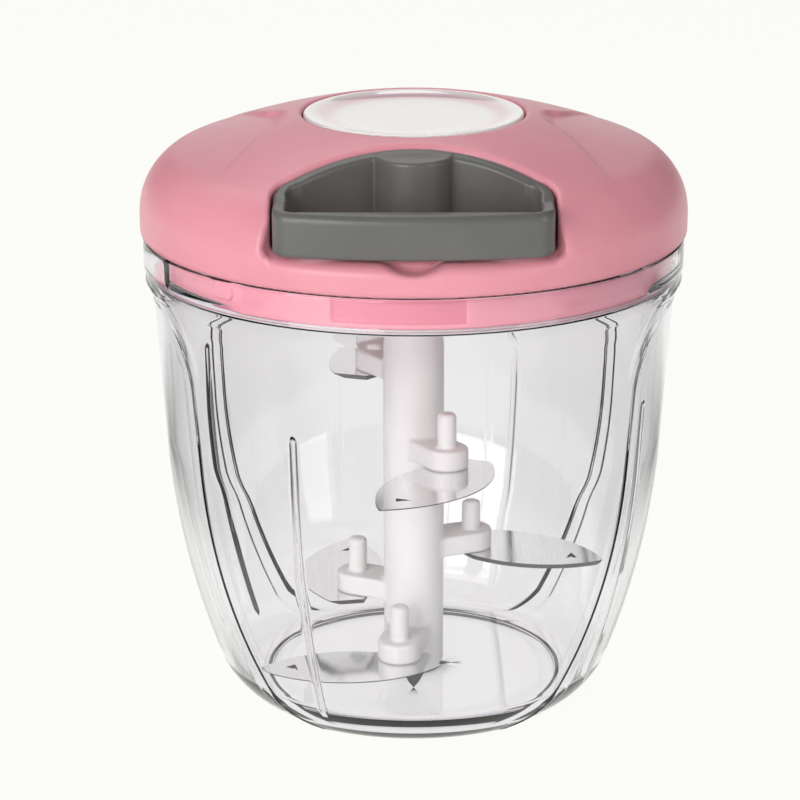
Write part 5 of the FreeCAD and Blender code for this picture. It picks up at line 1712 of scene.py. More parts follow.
def handle_outline(grow: float, open_front: bool = False) -> List[Point]:
    """Outline of the handle seen from above.

    Args:
        grow: how far the outline is moved out.
        open_front: whether it runs on through the side of the cover.

    Returns:
        Corners, each with the radius of the arc that follows it.
    """
    side = HANDLE_HALF + grow
    back_x = HANDLE_BACK[0] + 0.6 * grow
    back_y = -HANDLE_BACK[1] + 0.8 * grow
    back = [(side, -46.0, 6.0 + grow), (back_x, back_y, HANDLE_BACK[2] + grow),
            (-back_x, back_y, 6.0 + grow), (-side, -46.0, 0.0)]
    if open_front:
        return [(-side, -66.0, 0.0), (side, -66.0, 0.0)] + back
    return [(-26.5, -58.3, 109.7), (26.5, -58.3, 4.2), (side, -54.5, 0.0)] + back + [(-side, -54.5, 4.2)]

@dataclass
class PullHandle:
    """Grey ring whose top follows the crown, with the boss for the knot; sizes in mm.

    Attributes:
        cover: the cover whose crown it follows.
        bottom: underside.
        bar_top: top of the front bar.
        inset: how far the ring's top lies below the crown.
        wall: wall of the ring.
        bar: depth of the front bar.
        front: distance of the front bar's face from the lid's axis.
        boss_radius: radius of the boss.
        boss_top: top of the boss.
        boss_back: distance of the boss's centre from the lid's axis.
        knot_place: centre of the well for the knot.
        knot_radius: radius of the well.
        knot_top: top of the well.
        cord_height: height of the cord's bore.
        cord_bore: its radius.
        cell: size of the net's faces.
    """

    cover: PinkCover
    bottom: float = 119.0
    bar_top: float = 128.8
    inset: float = 0.35
    wall: float = 2.9
    bar: float = 4.0
    front: float = 61.5
    boss_radius: float = 8.6
    boss_top: float = 135.64
    boss_back: float = 32.85
    knot_place: float = 35.2
    knot_radius: float = 2.7
    knot_top: float = 129.7
    cord_height: float = 127.0
    cord_bore: float = 1.4
    cell: float = 0.38

    def __post_init__(self) -> None:
        """Work out the outlines seen from above."""
        self.ring = bent_outline(handle_outline(0.0))
        side = HANDLE_HALF - self.wall
        front = self.bar - self.front
        back_x, back_y = HANDLE_BACK[0] - 0.6 * self.wall, -HANDLE_BACK[1] - 0.8 * self.wall
        self.opening = bent_outline([
            (-side + 2.0, front + 1.0, 0.0), (side - 2.0, front + 1.0, 2.0), (side, front + 3.0, 0.0),
            (side, -46.0, 3.1), (back_x, back_y, HANDLE_BACK[2] - self.wall), (-back_x, back_y, 3.1),
            (-side, -46.0, 0.0), (-side, front + 3.0, 2.0),
        ])

    def top_at(self, radius: np.ndarray) -> np.ndarray:
        """Height of the ring's top at each distance from the axis.

        Args:
            radius: the distances.

        Returns:
            The heights.
        """
        crown = self.cover.crown_at(np.maximum(radius, self.cover.crown_edge)) - self.inset
        edge = self.cover.brow_height - self.inset
        shelf = np.interp(radius, [self.cover.brow, self.cover.brow + 2.0], [edge, self.bar_top])
        return np.where(radius < self.cover.brow, crown, shelf)

    def distance(self, points: np.ndarray) -> np.ndarray:
        """Distance to the handle.

        Args:
            points: the points.

        Returns:
            The distance of each point.
        """
        radius = np.hypot(points[:, 0], points[:, 1])
        height, depth = points[:, 2], points[:, 1]
        over = (height - self.top_at(radius)) * 0.96
        plan = outline_distance(self.ring, points[:, 0], depth)
        soft = 0.7 + 1.2 * smooth_step(depth, -54.0, -58.0)
        block = both_rounded(plan, over, soft)
        block = both_rounded(block, self.bottom - height, 0.8)
        opening = outline_distance(self.opening, points[:, 0], depth)
        ring = both_rounded(block, -opening, 0.7)
        round_boss = np.hypot(points[:, 0], depth + self.boss_back) - self.boss_radius
        boss = both_rounded(round_boss, height - self.boss_top, 0.7)
        boss = np.maximum(boss, np.maximum(self.bottom - height, depth + self.boss_back))
        handle = either_filleted(ring, boss, 0.6)
        well = np.hypot(points[:, 0], depth + self.knot_place) - self.knot_radius
        well = np.maximum(well, height - self.knot_top)
        bore = np.hypot(points[:, 0], height - self.cord_height) - self.cord_bore
        bore = np.maximum(bore, -depth - self.knot_place)
        return np.maximum(handle, -np.minimum(well, bore))

    def build(self, material: bpy.types.Material) -> bpy.types.Object:
        """Make the handle and dress it.

        Args:
            material: the grey plastic.

        Returns:
            The handle.
        """
        low = (-HANDLE_HALF, -self.front, self.bottom)
        high = (HANDLE_HALF, -30.0, self.cover.crown_height)
        net = Skin(self.distance, low, high, self.cell)
        return dress(net.build("pull_ring"), material, "pull_handle", ["handle"])


@dataclass
class BladeShaft:
    """White shaft with its finned head, bore and pegged arms; sizes in mm.

    Attributes:
        radius: radius of the shaft.
        bottom: lower end.
        top: shoulder below the head.
        head_core: radius of the head's core.
        head_top: top of the head.
        fin_reach: outer end of the head's fins from the axis.
        fin_width: thickness of a fin.
        fin_count: number of fins.
        bore: radius of the bore for the pin.
        bore_top: its upper end.
        socket: radius of the wider bore over the bowl's hub.
        socket_top: its upper end.
        arm_width: width of an arm.
        arm_height: height of an arm.
        peg_distance: distance of the pegs from the axis.
        peg_radius: radius of a peg.
        peg_height: how far a peg stands over its arm.
        stake: how far it stands out below its blade.
        blade_thickness: thickness of the blades.
        arms: direction in degrees and blade height of each arm.
        cell: size of the net's faces.
    """

    radius: float = 7.1
    bottom: float = 3.8
    top: float = 97.2
    head_core: float = 4.2
    head_top: float = 103.2
    fin_reach: float = 6.4
    fin_width: float = 2.2
    fin_count: int = 3
    bore: float = 2.55
    bore_top: float = 26.3
    socket: float = 5.3
    socket_top: float = 9.3
    arm_width: float = 10.0
    arm_height: float = 4.8
    peg_distance: float = 14.8
    peg_radius: float = 2.2
    peg_height: float = 8.3
    stake: float = 0.8
    blade_thickness: float = 1.0
    arms: Tuple[Corner, ...] = ((257.0, 9.5), (155.6, 19.0), (22.0, 30.0), (301.0, 57.5), (127.0, 74.5))
    cell: float = 0.55

    def arm(self, points: np.ndarray, angle: float, blade: float, shaft: np.ndarray) -> np.ndarray:
        """Distance to the shaft with one more arm and its peg.

        Args:
            points: the points.
            angle: direction of the arm in degrees.
            blade: height of its blade.
            shaft: distance to the shaft so far.

        Returns:
            The distance of each point.
        """
        along, across = along_across(points, math.radians(angle))
        height = points[:, 2]
        low = blade + self.blade_thickness / 2
        high = low + self.arm_height
        past = along > self.peg_distance
        bar = np.where(past, np.hypot(along - self.peg_distance, across), np.abs(across))
        bar = np.maximum(bar - self.arm_width / 2, -along)
        bar = both_rounded(bar, np.maximum(low - height, height - high), 0.6)
        found = either_filleted(shaft, bar, 0.9)
        peg = np.hypot(along - self.peg_distance, across) - self.peg_radius
        bottom = blade - self.blade_thickness / 2 - self.stake
        peg = both_rounded(peg, np.maximum(bottom - height, height - high - self.peg_height), 1.1)
        return either_filleted(found, peg, 0.5)

    def distance(self, points: np.ndarray) -> np.ndarray:
        """Distance to the shaft.

        Args:
            points: the points.

        Returns:
            The distance of each point.
        """
        radius = np.hypot(points[:, 0], points[:, 1])
        height = points[:, 2]
        shaft = both_rounded(radius - self.radius, np.maximum(self.bottom - height, height - self.top), 0.7)
        for angle, blade in self.arms:
            shaft = self.arm(points, angle, blade, shaft)
        head = radius - self.head_core
        for number in range(self.fin_count):
            along, across = along_across(points, FULL_TURN * number / self.fin_count)
            fin = np.maximum(np.abs(across) - self.fin_width / 2, radius - self.fin_reach)
            head = np.minimum(head, np.maximum(fin, -along))
        head = both_rounded(head, np.maximum(self.top - 1.0 - height, height - self.head_top), 0.4)
        shaft = np.minimum(shaft, head)
        bore = np.maximum(radius - self.bore, height - self.bore_top)
        socket = np.maximum(radius - self.socket, height - self.socket_top)
        return np.maximum(shaft, -np.minimum(bore, socket))

    def build(self, material: bpy.types.Material) -> bpy.types.Object:
        """Make the shaft and dress it.

        Args:
            material: the white plastic.

        Returns:
            The shaft.
        """
        reach = self.peg_distance + self.arm_width / 2
        net = Skin(self.distance, (-reach, -reach, self.bottom), (reach, reach, self.head_top), self.cell)
        return dress(net.build("pegged_shaft"), material, "blades", ["blade_shaft"])


@dataclass
class LidPlug:
    """Pink plug that fits the rim, with its oval lugs, inset panels and floor plate; sizes in mm.

    Attributes:
        radius: outer radius of the skirt.
        inner: inner radius of the skirt.
        bottom: lower edge of the skirt.
        top: lower edge of the cover.
        lug_angle: direction of the first lug in degrees.
        lug_reach: outer end of the lugs from the axis.
        lug_count: number of lugs.
        lug_width: width of a lug.
        lug_height: height of a lug.
        lug_middle: height of its middle.
        lug_soft: width of its sloping edge.
        collar: outer radius of the collar that goes into the cover.
        collar_wall: thickness of the collar.
        collar_top: top of the collar.
        plate_bottom: underside of the floor plate.
        plate_top: its top.
        plate_hole: radius of its hole.
        panel_place: angle in degrees from a lug to the middle of an inset panel.
        panel_angle: angle that a panel takes.
        panel_depth: depth of the panels.
        panel_low: their lower edge.
        panel_high: their upper edge.
    """

    radius: float = 59.7
    inner: float = 56.5
    bottom: float = 103.9
    top: float = 111.1
    collar: float = 60.3
    collar_wall: float = 2.4
    collar_top: float = 114.1
    plate_bottom: float = 104.6
    plate_top: float = 106.6
    plate_hole: float = 11.0
    lug_angle: float = 107.0
    lug_count: int = 3
    lug_reach: float = 60.5
    lug_width: float = 6.5
    lug_height: float = 4.0
    lug_middle: float = 108.0
    lug_soft: float = 0.35
    panel_place: float = 160.0
    panel_angle: float = 28.0
    panel_depth: float = 0.5
    panel_low: float = 104.9
    panel_high: float = 109.7

    def skirt_angles(self) -> np.ndarray:
        """Directions of the skirt's points, crowded at the lugs and the panels' ends.

        Returns:
            The directions in radians, rising.
        """
        pitch = 360.0 / self.lug_count
        lug_half = math.degrees((self.lug_width / 2 + 0.6) / self.radius)
        rows = []
        for number in range(self.lug_count):
            lug = self.lug_angle + number * pitch
            panel = lug + self.panel_place - pitch
            rows.append(np.linspace(lug - lug_half, lug + lug_half, 36))
            ends = [panel - self.panel_angle / 2, panel + self.panel_angle / 2]
            for end in ends:
                rows.append(end + np.array([-0.3, -0.1, 0.1, 0.3]))
            rows.append(np.arange(lug + lug_half + 1.4, ends[0] - 0.8, 1.8))
            rows.append(np.arange(ends[0] + 1.6, ends[1] - 0.8, 1.8))
            rows.append(np.arange(ends[1] + 1.6, lug - lug_half + pitch - 0.8, 1.8))
        return rising(np.radians(np.concatenate(rows)))

    def stand_out(self, angle: np.ndarray, height: float) -> np.ndarray:
        """How far the skirt stands out at its lugs and in at its panels.

        Args:
            angle: directions of the points in radians.
            height: their height.

        Returns:
            The offset from the skirt at each point.
        """
        pitch = 360.0 / self.lug_count
        place = from_nearest(np.degrees(angle), self.lug_angle, pitch)
        across = np.abs(np.radians(place)) * self.radius
        flat = (self.lug_width - self.lug_height) / 2
        away = np.hypot(np.maximum(across - flat, 0.0), height - self.lug_middle) - self.lug_height / 2
        lug = (self.lug_reach - self.radius) * smooth_step(away, 0.0, -self.lug_soft)
        place = from_nearest(np.degrees(angle), self.lug_angle + self.panel_place, pitch)
        inside = smooth_step(np.abs(place), self.panel_angle / 2 + 0.2, self.panel_angle / 2 - 0.2)
        upright = smooth_step(height, self.panel_low - 0.15, self.panel_low + 0.15)
        upright = upright * smooth_step(height, self.panel_high + 0.15, self.panel_high - 0.15)
        return lug - self.panel_depth * inside * upright

    def paint_panel_shade(self, piece: bpy.types.Object, inset: bpy.types.Material) -> None:
        """Paint the inset panels a darker pink as the shade that falls in them.

        Args:
            piece: the plug.
            inset: the darker pink plastic that paints that shade.
        """
        piece.data.materials.append(inset)
        for face in piece.data.polygons:
            middle = face.center / MM
            depth = self.radius - math.hypot(middle.x, middle.y)
            sunk = self.panel_depth * 0.55 < depth < self.panel_depth + 0.1
            if sunk and self.panel_low < middle.z < self.panel_high:
                # faces sunk in a panel get the darker pink of painted shade
                face.material_index = 1

    def build(self, material: bpy.types.Material, inset: bpy.types.Material) -> bpy.types.Object:
        """Make the plug and dress it.

        Args:
            material: the pink plastic.
            inset: the darker pink that paints shade into the inset panels.

        Returns:
            The plug.
        """
        loft = Loft()
        angle = self.skirt_angles()
        outside = [(self.radius - 0.3, self.bottom), (self.radius - 0.08, self.bottom + 0.1),
                   (self.radius, self.bottom + 0.35)]
        heights = [104.6, 104.75, 104.9, 105.05] + list(np.linspace(105.5, 110.5, 26)) + [110.9]
        outside += [(self.radius, height) for height in heights]
        inside = [
            (self.collar, self.top, 0.0), (self.collar, self.collar_top, 0.4),
            (self.collar - self.collar_wall, self.collar_top, 0.4), (self.inner, self.top, 0.3),
            (self.inner, self.plate_top, 0.5), (self.plate_hole, self.plate_top, 0.4),
            (self.plate_hole, self.plate_bottom, 0.4), (self.inner, self.plate_bottom, 0.5),
            (self.inner, self.bottom, 0.3),
        ]
        loops = []
        for index, (radius, height) in enumerate(outside + rounded_profile(inside)):
            offset = self.stand_out(angle, height) if 2 < index < len(outside) else 0.0
            loops.append(loft.loop(radius + offset, angle, height))
        loft.stack(loops + loops[:1])
        piece = dress(loft.finish("lugged_plug"), material, "lid", ["lid_base"])
        self.paint_panel_shade(piece, inset)
        return piece


@dataclass
class CentreCap:
    """Glossy dished disc in the crown; sizes in mm.

    Attributes:
        radius: its radius.
        bottom: its underside.
        top: top of its lip.
        dish: depth of the dish.
        hollow: power of the dish's wall, higher for a flatter middle.
        bend: rounding of the lip.
        columns: points round the axis.
    """

    radius: float = 25.3
    bottom: float = 134.6
    top: float = 138.1
    dish: float = 1.3
    hollow: int = 6
    bend: float = 0.7
    columns: int = 160

    def build(self, material: bpy.types.Material) -> bpy.types.Object:
        """Make the cap and dress it.

        Args:
            material: the glossy white plastic.

        Returns:
            The cap.
        """
        edge = self.radius
        lip = edge - 2 * self.bend
        profile = [(0.0, self.bottom), (edge * 0.5, self.bottom), (edge - 0.4, self.bottom),
                   (edge, self.bottom + 0.4), (edge, self.top - self.bend)]
        profile += quarter((edge - self.bend, self.top - self.bend), self.bend, 0.0, 7)[1:]
        profile.append((lip + 0.2, self.top))
        for share in np.linspace(0.99, 0.04, 24):
            profile.append((lip * share, self.top - self.dish * (1.0 - share ** self.hollow)))
        profile.append((0.0, self.top - self.dish))
        piece = turned_piece("dished_cap", profile, self.columns)
        return dress(piece, material, "lid", ["centre_cap"])


@dataclass
class SealRing:
    """Soft ring under the plug with two lips and a tongue; sizes in mm.

    Attributes:
        inner: its inner radius.
        outer: its outer radius.
        bottom: height of the lips' edges.
        top: its top beside the tongue.
        tongue_inner: inner radius of the tongue.
        tongue_outer: outer radius of the tongue.
        tongue_top: top of the tongue.
        columns: points round the axis.
    """

    inner: float = 57.2
    outer: float = 58.8
    bottom: float = 102.4
    top: float = 103.9
    tongue_inner: float = 57.6
    tongue_outer: float = 58.5
    tongue_top: float = 105.0
    columns: int = 200

    def build(self, material: bpy.types.Material) -> bpy.types.Object:
        """Make the seal and dress it.

        Args:
            material: the silicone.

        Returns:
            The seal.
        """
        middle = (self.inner + self.outer) / 2
        profile = rounded_profile([
            (self.inner, self.bottom, 0.25), (middle, self.bottom + 0.3, 0.2),
            (self.outer, self.bottom, 0.25), (self.outer, self.top, 0.3),
            (self.tongue_outer, self.top, 0.05),
            (self.tongue_outer, self.tongue_top, 0.25), (self.tongue_inner, self.tongue_top, 0.25),
            (self.tongue_inner, self.top, 0.05), (self.inner, self.top, 0.15),
        ])
        piece = turned_piece("soft_seal", profile, self.columns)
        return dress(piece, material, "seal", ["seal_ring"])


@dataclass
class BladeStack:
    """Five sickle blades with polished faces and ground edges painted dark as shade.

    Attributes:
        count: number of blades.
        flat_share: upward share of a face's direction above which it is a polished face.
        weld: distance in metres within which corners are joined.
    """

    count: int = 5
    flat_share: float = 0.985
    weld: float = 0.000002

    def build(self, face: bpy.types.Material, edge: bpy.types.Material) -> None:
        """Make the blades from copies of the frame's blades and dress them face by face.

        Args:
            face: the polished steel of the flat faces.
            edge: the ground steel of the bevels and the rims, painted dark as shade.
        """
        for number in range(1, self.count + 1):
            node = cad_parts["blade_%d" % number]
            mesh = node.data.copy()
            shell = bmesh.new()
            shell.from_mesh(mesh)
            bmesh.ops.remove_doubles(shell, verts=shell.verts, dist=self.weld)
            shell.to_mesh(mesh)
            shell.free()
            piece = put("ground_blade_%d" % number, mesh)
            mesh.name = piece.name
            dress(piece, face, "blades", [node.name])
            mesh.materials.append(edge)
            for side in mesh.polygons:
                # faces that are not flat get the steel painted dark as shade
                side.material_index = 0 if abs(side.normal.z) > self.flat_share else 1
                side.use_smooth = False


class Tree(Graph):
    """Builds a Geometry Nodes tree with named inputs and bakes its result."""

    def __init__(self, name: str, plain: Dict[str, float], lengths: Dict[str, float]) -> None:
        """Start a tree.

        Args:
            name: the tree's name.
            plain: named inputs that are numbers or angles.
            lengths: named inputs that are lengths in mm.
        """
        super().__init__(bpy.data.node_groups.new(name, "GeometryNodeTree"))
        self.tree.is_modifier = True
        self.inputs = {**plain, **{label: value * MM for label, value in lengths.items()}}
        self.tree.interface.new_socket("Geometry", in_out="OUTPUT", socket_type="NodeSocketGeometry")
        for label, value in self.inputs.items():
            kind = "NodeSocketInt" if isinstance(value, int) else "NodeSocketFloat"
            self.tree.interface.new_socket(label, in_out="INPUT", socket_type=kind)
        self.given = self.tree.nodes.new("NodeGroupInput").outputs

    def fill(self, node: bpy.types.Node, inputs: Inputs) -> None:
        """Fill inputs of a node; a text is the name of one of the tree's inputs.

        Args:
            node: the node.
            inputs: by name or number, what each input gets.
        """
        for label, source in inputs.items():
            super().fill(node, {label: self.given[source] if isinstance(source, str) else source})

    def shape(self, kind: str, inputs: Optional[Inputs] = None, **values: object) -> bpy.types.Node:
        """Add a node of Geometry Nodes.

        Args:
            kind: Blender's type name of the node, without its common start.
            inputs: what each input gets.
            values: properties to set on the node.

        Returns:
            The new node.
        """
        return self.add("GeometryNode" + kind, inputs, **values)

    def joined(self, parts: Sequence[bpy.types.Node]) -> bpy.types.Node:
        """Join several geometries.

        Args:
            parts: the nodes that give them.

        Returns:
            The new node.
        """
        join = self.shape("JoinGeometry")
        for part in parts:
            self.fill(join, {0: part})
        return join

    def vector(self, **shares: str) -> bpy.types.Node:
        """Make a vector of named inputs.

        Args:
            shares: the input's name for X, Y or Z.

        Returns:
            The new node.
        """
        return self.add("ShaderNodeCombineXYZ", shares)

    def lifted(self, shape: bpy.types.Node, height: str) -> bpy.types.Node:
        """Raise a geometry.

        Args:
            shape: the node that gives it.
            height: name of the tree's input with its height.

        Returns:
            The new node.
        """
        return self.shape("Transform", {"Geometry": shape, "Translation": self.vector(Z=height)})

    def spiral(self, turns: str, radii: Tuple[str, str], climb: str, resolution: int) -> bpy.types.Node:
        """Draw a spiral.

        Args:
            turns: name of the input with its turns.
            radii: names of the inputs with its first and last radius.
            climb: name of the input with its rise.
            resolution: points in a turn.

        Returns:
            The new node.
        """
        return self.shape("CurveSpiral", {
            "Resolution": resolution, "Rotations": turns, "Start Radius": radii[0], "End Radius": radii[1],
            "Height": climb,
        })

    def cone(self, sides: int, low: str, high: str, depth: str) -> bpy.types.Node:
        """Make a cone without its point.

        Args:
            sides: its number of sides.
            low: name of the input with its lower radius.
            high: name of the input with its upper radius.
            depth: name of the input with its height.

        Returns:
            The new node.
        """
        return self.shape("MeshCone", {
            "Vertices": sides, "Radius Top": high, "Radius Bottom": low, "Depth": depth,
        })

    def ring(self, radius: str, sides: object) -> bpy.types.Node:
        """Draw the round section of a tube.

        Args:
            radius: name of the input with its radius.
            sides: its number of sides or the name of the input with it.

        Returns:
            The new node.
        """
        return self.shape("CurvePrimitiveCircle", {"Resolution": sides, "Radius": radius}, mode="RADIUS")

    def tube(self, path: bpy.types.Node, section: bpy.types.Node) -> bpy.types.Node:
        """Run a section along a path.

        Args:
            path: the node that gives the path.
            section: the node that gives the section.

        Returns:
            The new node.
        """
        return self.shape("CurveToMesh", {"Curve": path, "Profile Curve": section, "Fill Caps": True})

    def bake(self, name: str, shape: bpy.types.Node, material: bpy.types.Material) -> bpy.types.Object:
        """End the tree, run it on an empty mesh and keep the result as a plain mesh.

        Args:
            name: name of the piece.
            shape: the node that gives the finished geometry.
            material: material of the piece.

        Returns:
            The piece.
        """
        realized = self.shape("RealizeInstances", {"Geometry": shape})
        painted = self.shape("SetMaterial", {"Geometry": realized, "Material": material})
        self.add("NodeGroupOutput", {0: painted})
        carrier = put(name, bpy.data.meshes.new(name + "_start"))
        modifier = carrier.modifiers.new("shape", "NODES")
        modifier.node_group = self.tree
        for item in self.tree.interface.items_tree:
            if item.in_out == "INPUT":
                modifier[item.identifier] = self.inputs[item.name]
        baked = bpy.data.meshes.new_from_object(carrier.evaluated_get(bpy.context.evaluated_depsgraph_get()))
        carrier.modifiers.remove(modifier)
        carrier.data = baked
        baked.name = name
        baked.materials.clear()
        return carrier


@dataclass
class CordParts:
    """Cord on the spool, its lead to the handle and the knot; sizes in mm.

    Attributes:
        radius: radius of the cord.
        inner_layer: radius of the middle of the inner wound layer.
        outer_layer: the same of the outer layer.
        turns: turns in a layer.
        low: height at which the inner layer starts.
        high: height at which it ends and the outer layer starts.
        height: height of the lead.
        run: start of the lead seen from above, start and end of its bend, and its end.
        bend: radius of the bend.
        sides: sides of the lead's tube.
        stretch: places along Y between which the lead stretches when the handle is pulled; not used.
        knot_place: middle of the knot along Y.
        knot_radius: radius of the knot.
        cell: size of the knot's faces.
    """

    radius: float = 1.05
    inner_layer: float = 15.1
    outer_layer: float = 16.8
    turns: float = 1.86
    low: float = 126.1
    high: float = 127.9
    height: float = 127.0
    run: Tuple[Corner, ...] = ((-11.96, -15.15), (-1.90, -23.10), (0.0, -27.02), (0.0, -34.0))
    bend: float = 5.0
    sides: int = 14
    stretch: Corner = (-27.2, -32.0)
    knot_place: float = -35.2
    knot_radius: float = 2.4
    cell: float = 0.2

    def build_winding(self, material: bpy.types.Material) -> bpy.types.Object:
        """Wind two layers on the spool.

        Args:
            material: the cord's material.

        Returns:
            The winding.
        """
        rise = self.high - self.low
        tree = Tree("wound_cord", {"turns": self.turns, "sides": 12}, {
            "cord radius": self.radius, "inner layer": self.inner_layer, "outer layer": self.outer_layer,
            "low": self.low, "rise": rise, "fall": -rise, "high": self.high,
        })
        section = tree.ring("cord radius", "sides")
        layers = []
        for layer, climb, start in (("inner layer", "rise", "low"), ("outer layer", "fall", "high")):
            helix = tree.lifted(tree.spiral("turns", (layer, layer), climb, 72), start)
            layers.append(tree.shape("SetShadeSmooth", {"Geometry": tree.tube(helix, section)}))
        piece = tree.bake("wound_cord", tree.joined(layers), material)
        return dress(piece, material, "drum", ["cord_winding"])

    def lead_path(self) -> np.ndarray:
        """Line of the lead seen from above, with its bend rounded.

        Returns:
            The points.
        """
        start, turn, finish, end = [np.array(point) for point in self.run]
        length = np.linalg.norm(turn - start)
        ahead = (turn - start) / length
        centre = turn + np.array([ahead[1], -ahead[0]]) * self.bend
        low, high = [math.atan2(*(point - centre)[::-1]) for point in (turn, finish)]
        path = [start + ahead * share * length for share in np.linspace(0, 1, 9)]
        for angle in np.linspace(low, high, 9)[1:]:
            path.append(centre + self.bend * np.array([math.cos(angle), math.sin(angle)]))
        path += [finish + (end - finish) * share for share in np.linspace(0, 1, 13)[1:]]
        return np.array(path)

    def build_lead(self, material: bpy.types.Material) -> bpy.types.Object:
        """Run the cord from the spool through the guide hole to the knot.

        Args:
            material: the cord's material.

        Returns:
            The lead, which stretches from the lid to the handle.
        """
        path = self.lead_path()
        ahead = np.gradient(path, axis=0)
        ahead /= np.linalg.norm(ahead, axis=1)[:, None]
        side = np.stack([ahead[:, 1], -ahead[:, 0]], axis=1)
        around = np.linspace(0.0, FULL_TURN, self.sides + 1)[:-1]
        loft = Loft()
        rings = []
        for point, across in zip(path, side):
            flat = point + np.cos(around)[:, None] * self.radius * across
            rings.append(loft.add(np.column_stack([flat, self.height + self.radius * np.sin(around)])))
        loft.stack(rings)
        loft.faces += [tuple(rings[0]), tuple(rings[-1])]
        piece = dress(loft.finish("cord_to_handle"), material, None, ["cord_lead"])
        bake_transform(piece)
        return piece

    def knot_distance(self, points: np.ndarray) -> np.ndarray:
        """Distance to the knot: three crossing loops of cord round a small core.

        Args:
            points: the points.

        Returns:
            The distance of each point.
        """
        place = points - np.array([0.0, self.knot_place, self.height])
        ring = self.knot_radius - self.radius
        found = np.linalg.norm(place, axis=1) - self.radius * 0.9
        for number in range(3):
            turn = math.pi * number / 3
            axis = np.array([math.cos(turn) * 0.8, 0.6, math.sin(turn) * 0.8])
            axis /= np.linalg.norm(axis)
            up = place @ axis
            out = np.linalg.norm(place - up[:, None] * axis, axis=1)
            found = either_filleted(found, np.hypot(out - ring, up) - self.radius, 0.15)
        return found

    def build_knot(self, material: bpy.types.Material) -> bpy.types.Object:
        """Tie the knot in the handle's boss.

        Args:
            material: the cord's material.

        Returns:
            The knot.
        """
        reach = self.knot_radius + 0.3
        low = (-reach, self.knot_place - reach, self.height - reach)
        high = (reach, self.knot_place + reach, self.height + reach)
        piece = Skin(self.knot_distance, low, high, self.cell).build("tied_knot")
        return dress(piece, material, "pull_handle", ["cord_knot"])


@dataclass
class RecoilStrip:
    """Flat spring wound in a spiral inside the spool's cup; sizes in mm.

    Attributes:
        inner: inner radius of the spiral.
        outer: its outer radius.
        turns: its turns.
        strip: thickness of the strip.
        width: its width.
        bottom: height of its lower edge.
    """

    inner: float = 4.85
    outer: float = 20.3
    turns: float = 10.0
    strip: float = 0.5
    width: float = 8.0
    bottom: float = 113.3

    def build(self, material: bpy.types.Material) -> bpy.types.Object:
        """Wind the spring.

        Args:
            material: the spring steel.

        Returns:
            The spring.
        """
        tree = Tree("wound_spring", {"turns": self.turns, "climb": 0.0}, {
            "inner radius": self.inner, "outer radius": self.outer, "strip": self.strip, "width": self.width,
            "middle": self.bottom + self.width / 2,
        })
        spiral = tree.spiral("turns", ("inner radius", "outer radius"), "climb", 60)
        section = tree.shape("CurvePrimitiveQuadrilateral", {"Width": "strip", "Height": "width"})
        upright = tree.shape("SetCurveNormal", {"Curve": spiral}, mode="Z_UP")
        piece = tree.bake("wound_spring", tree.lifted(tree.tube(upright, section), "middle"), material)
        return dress(piece, material, "drum", ["recoil_spring"])


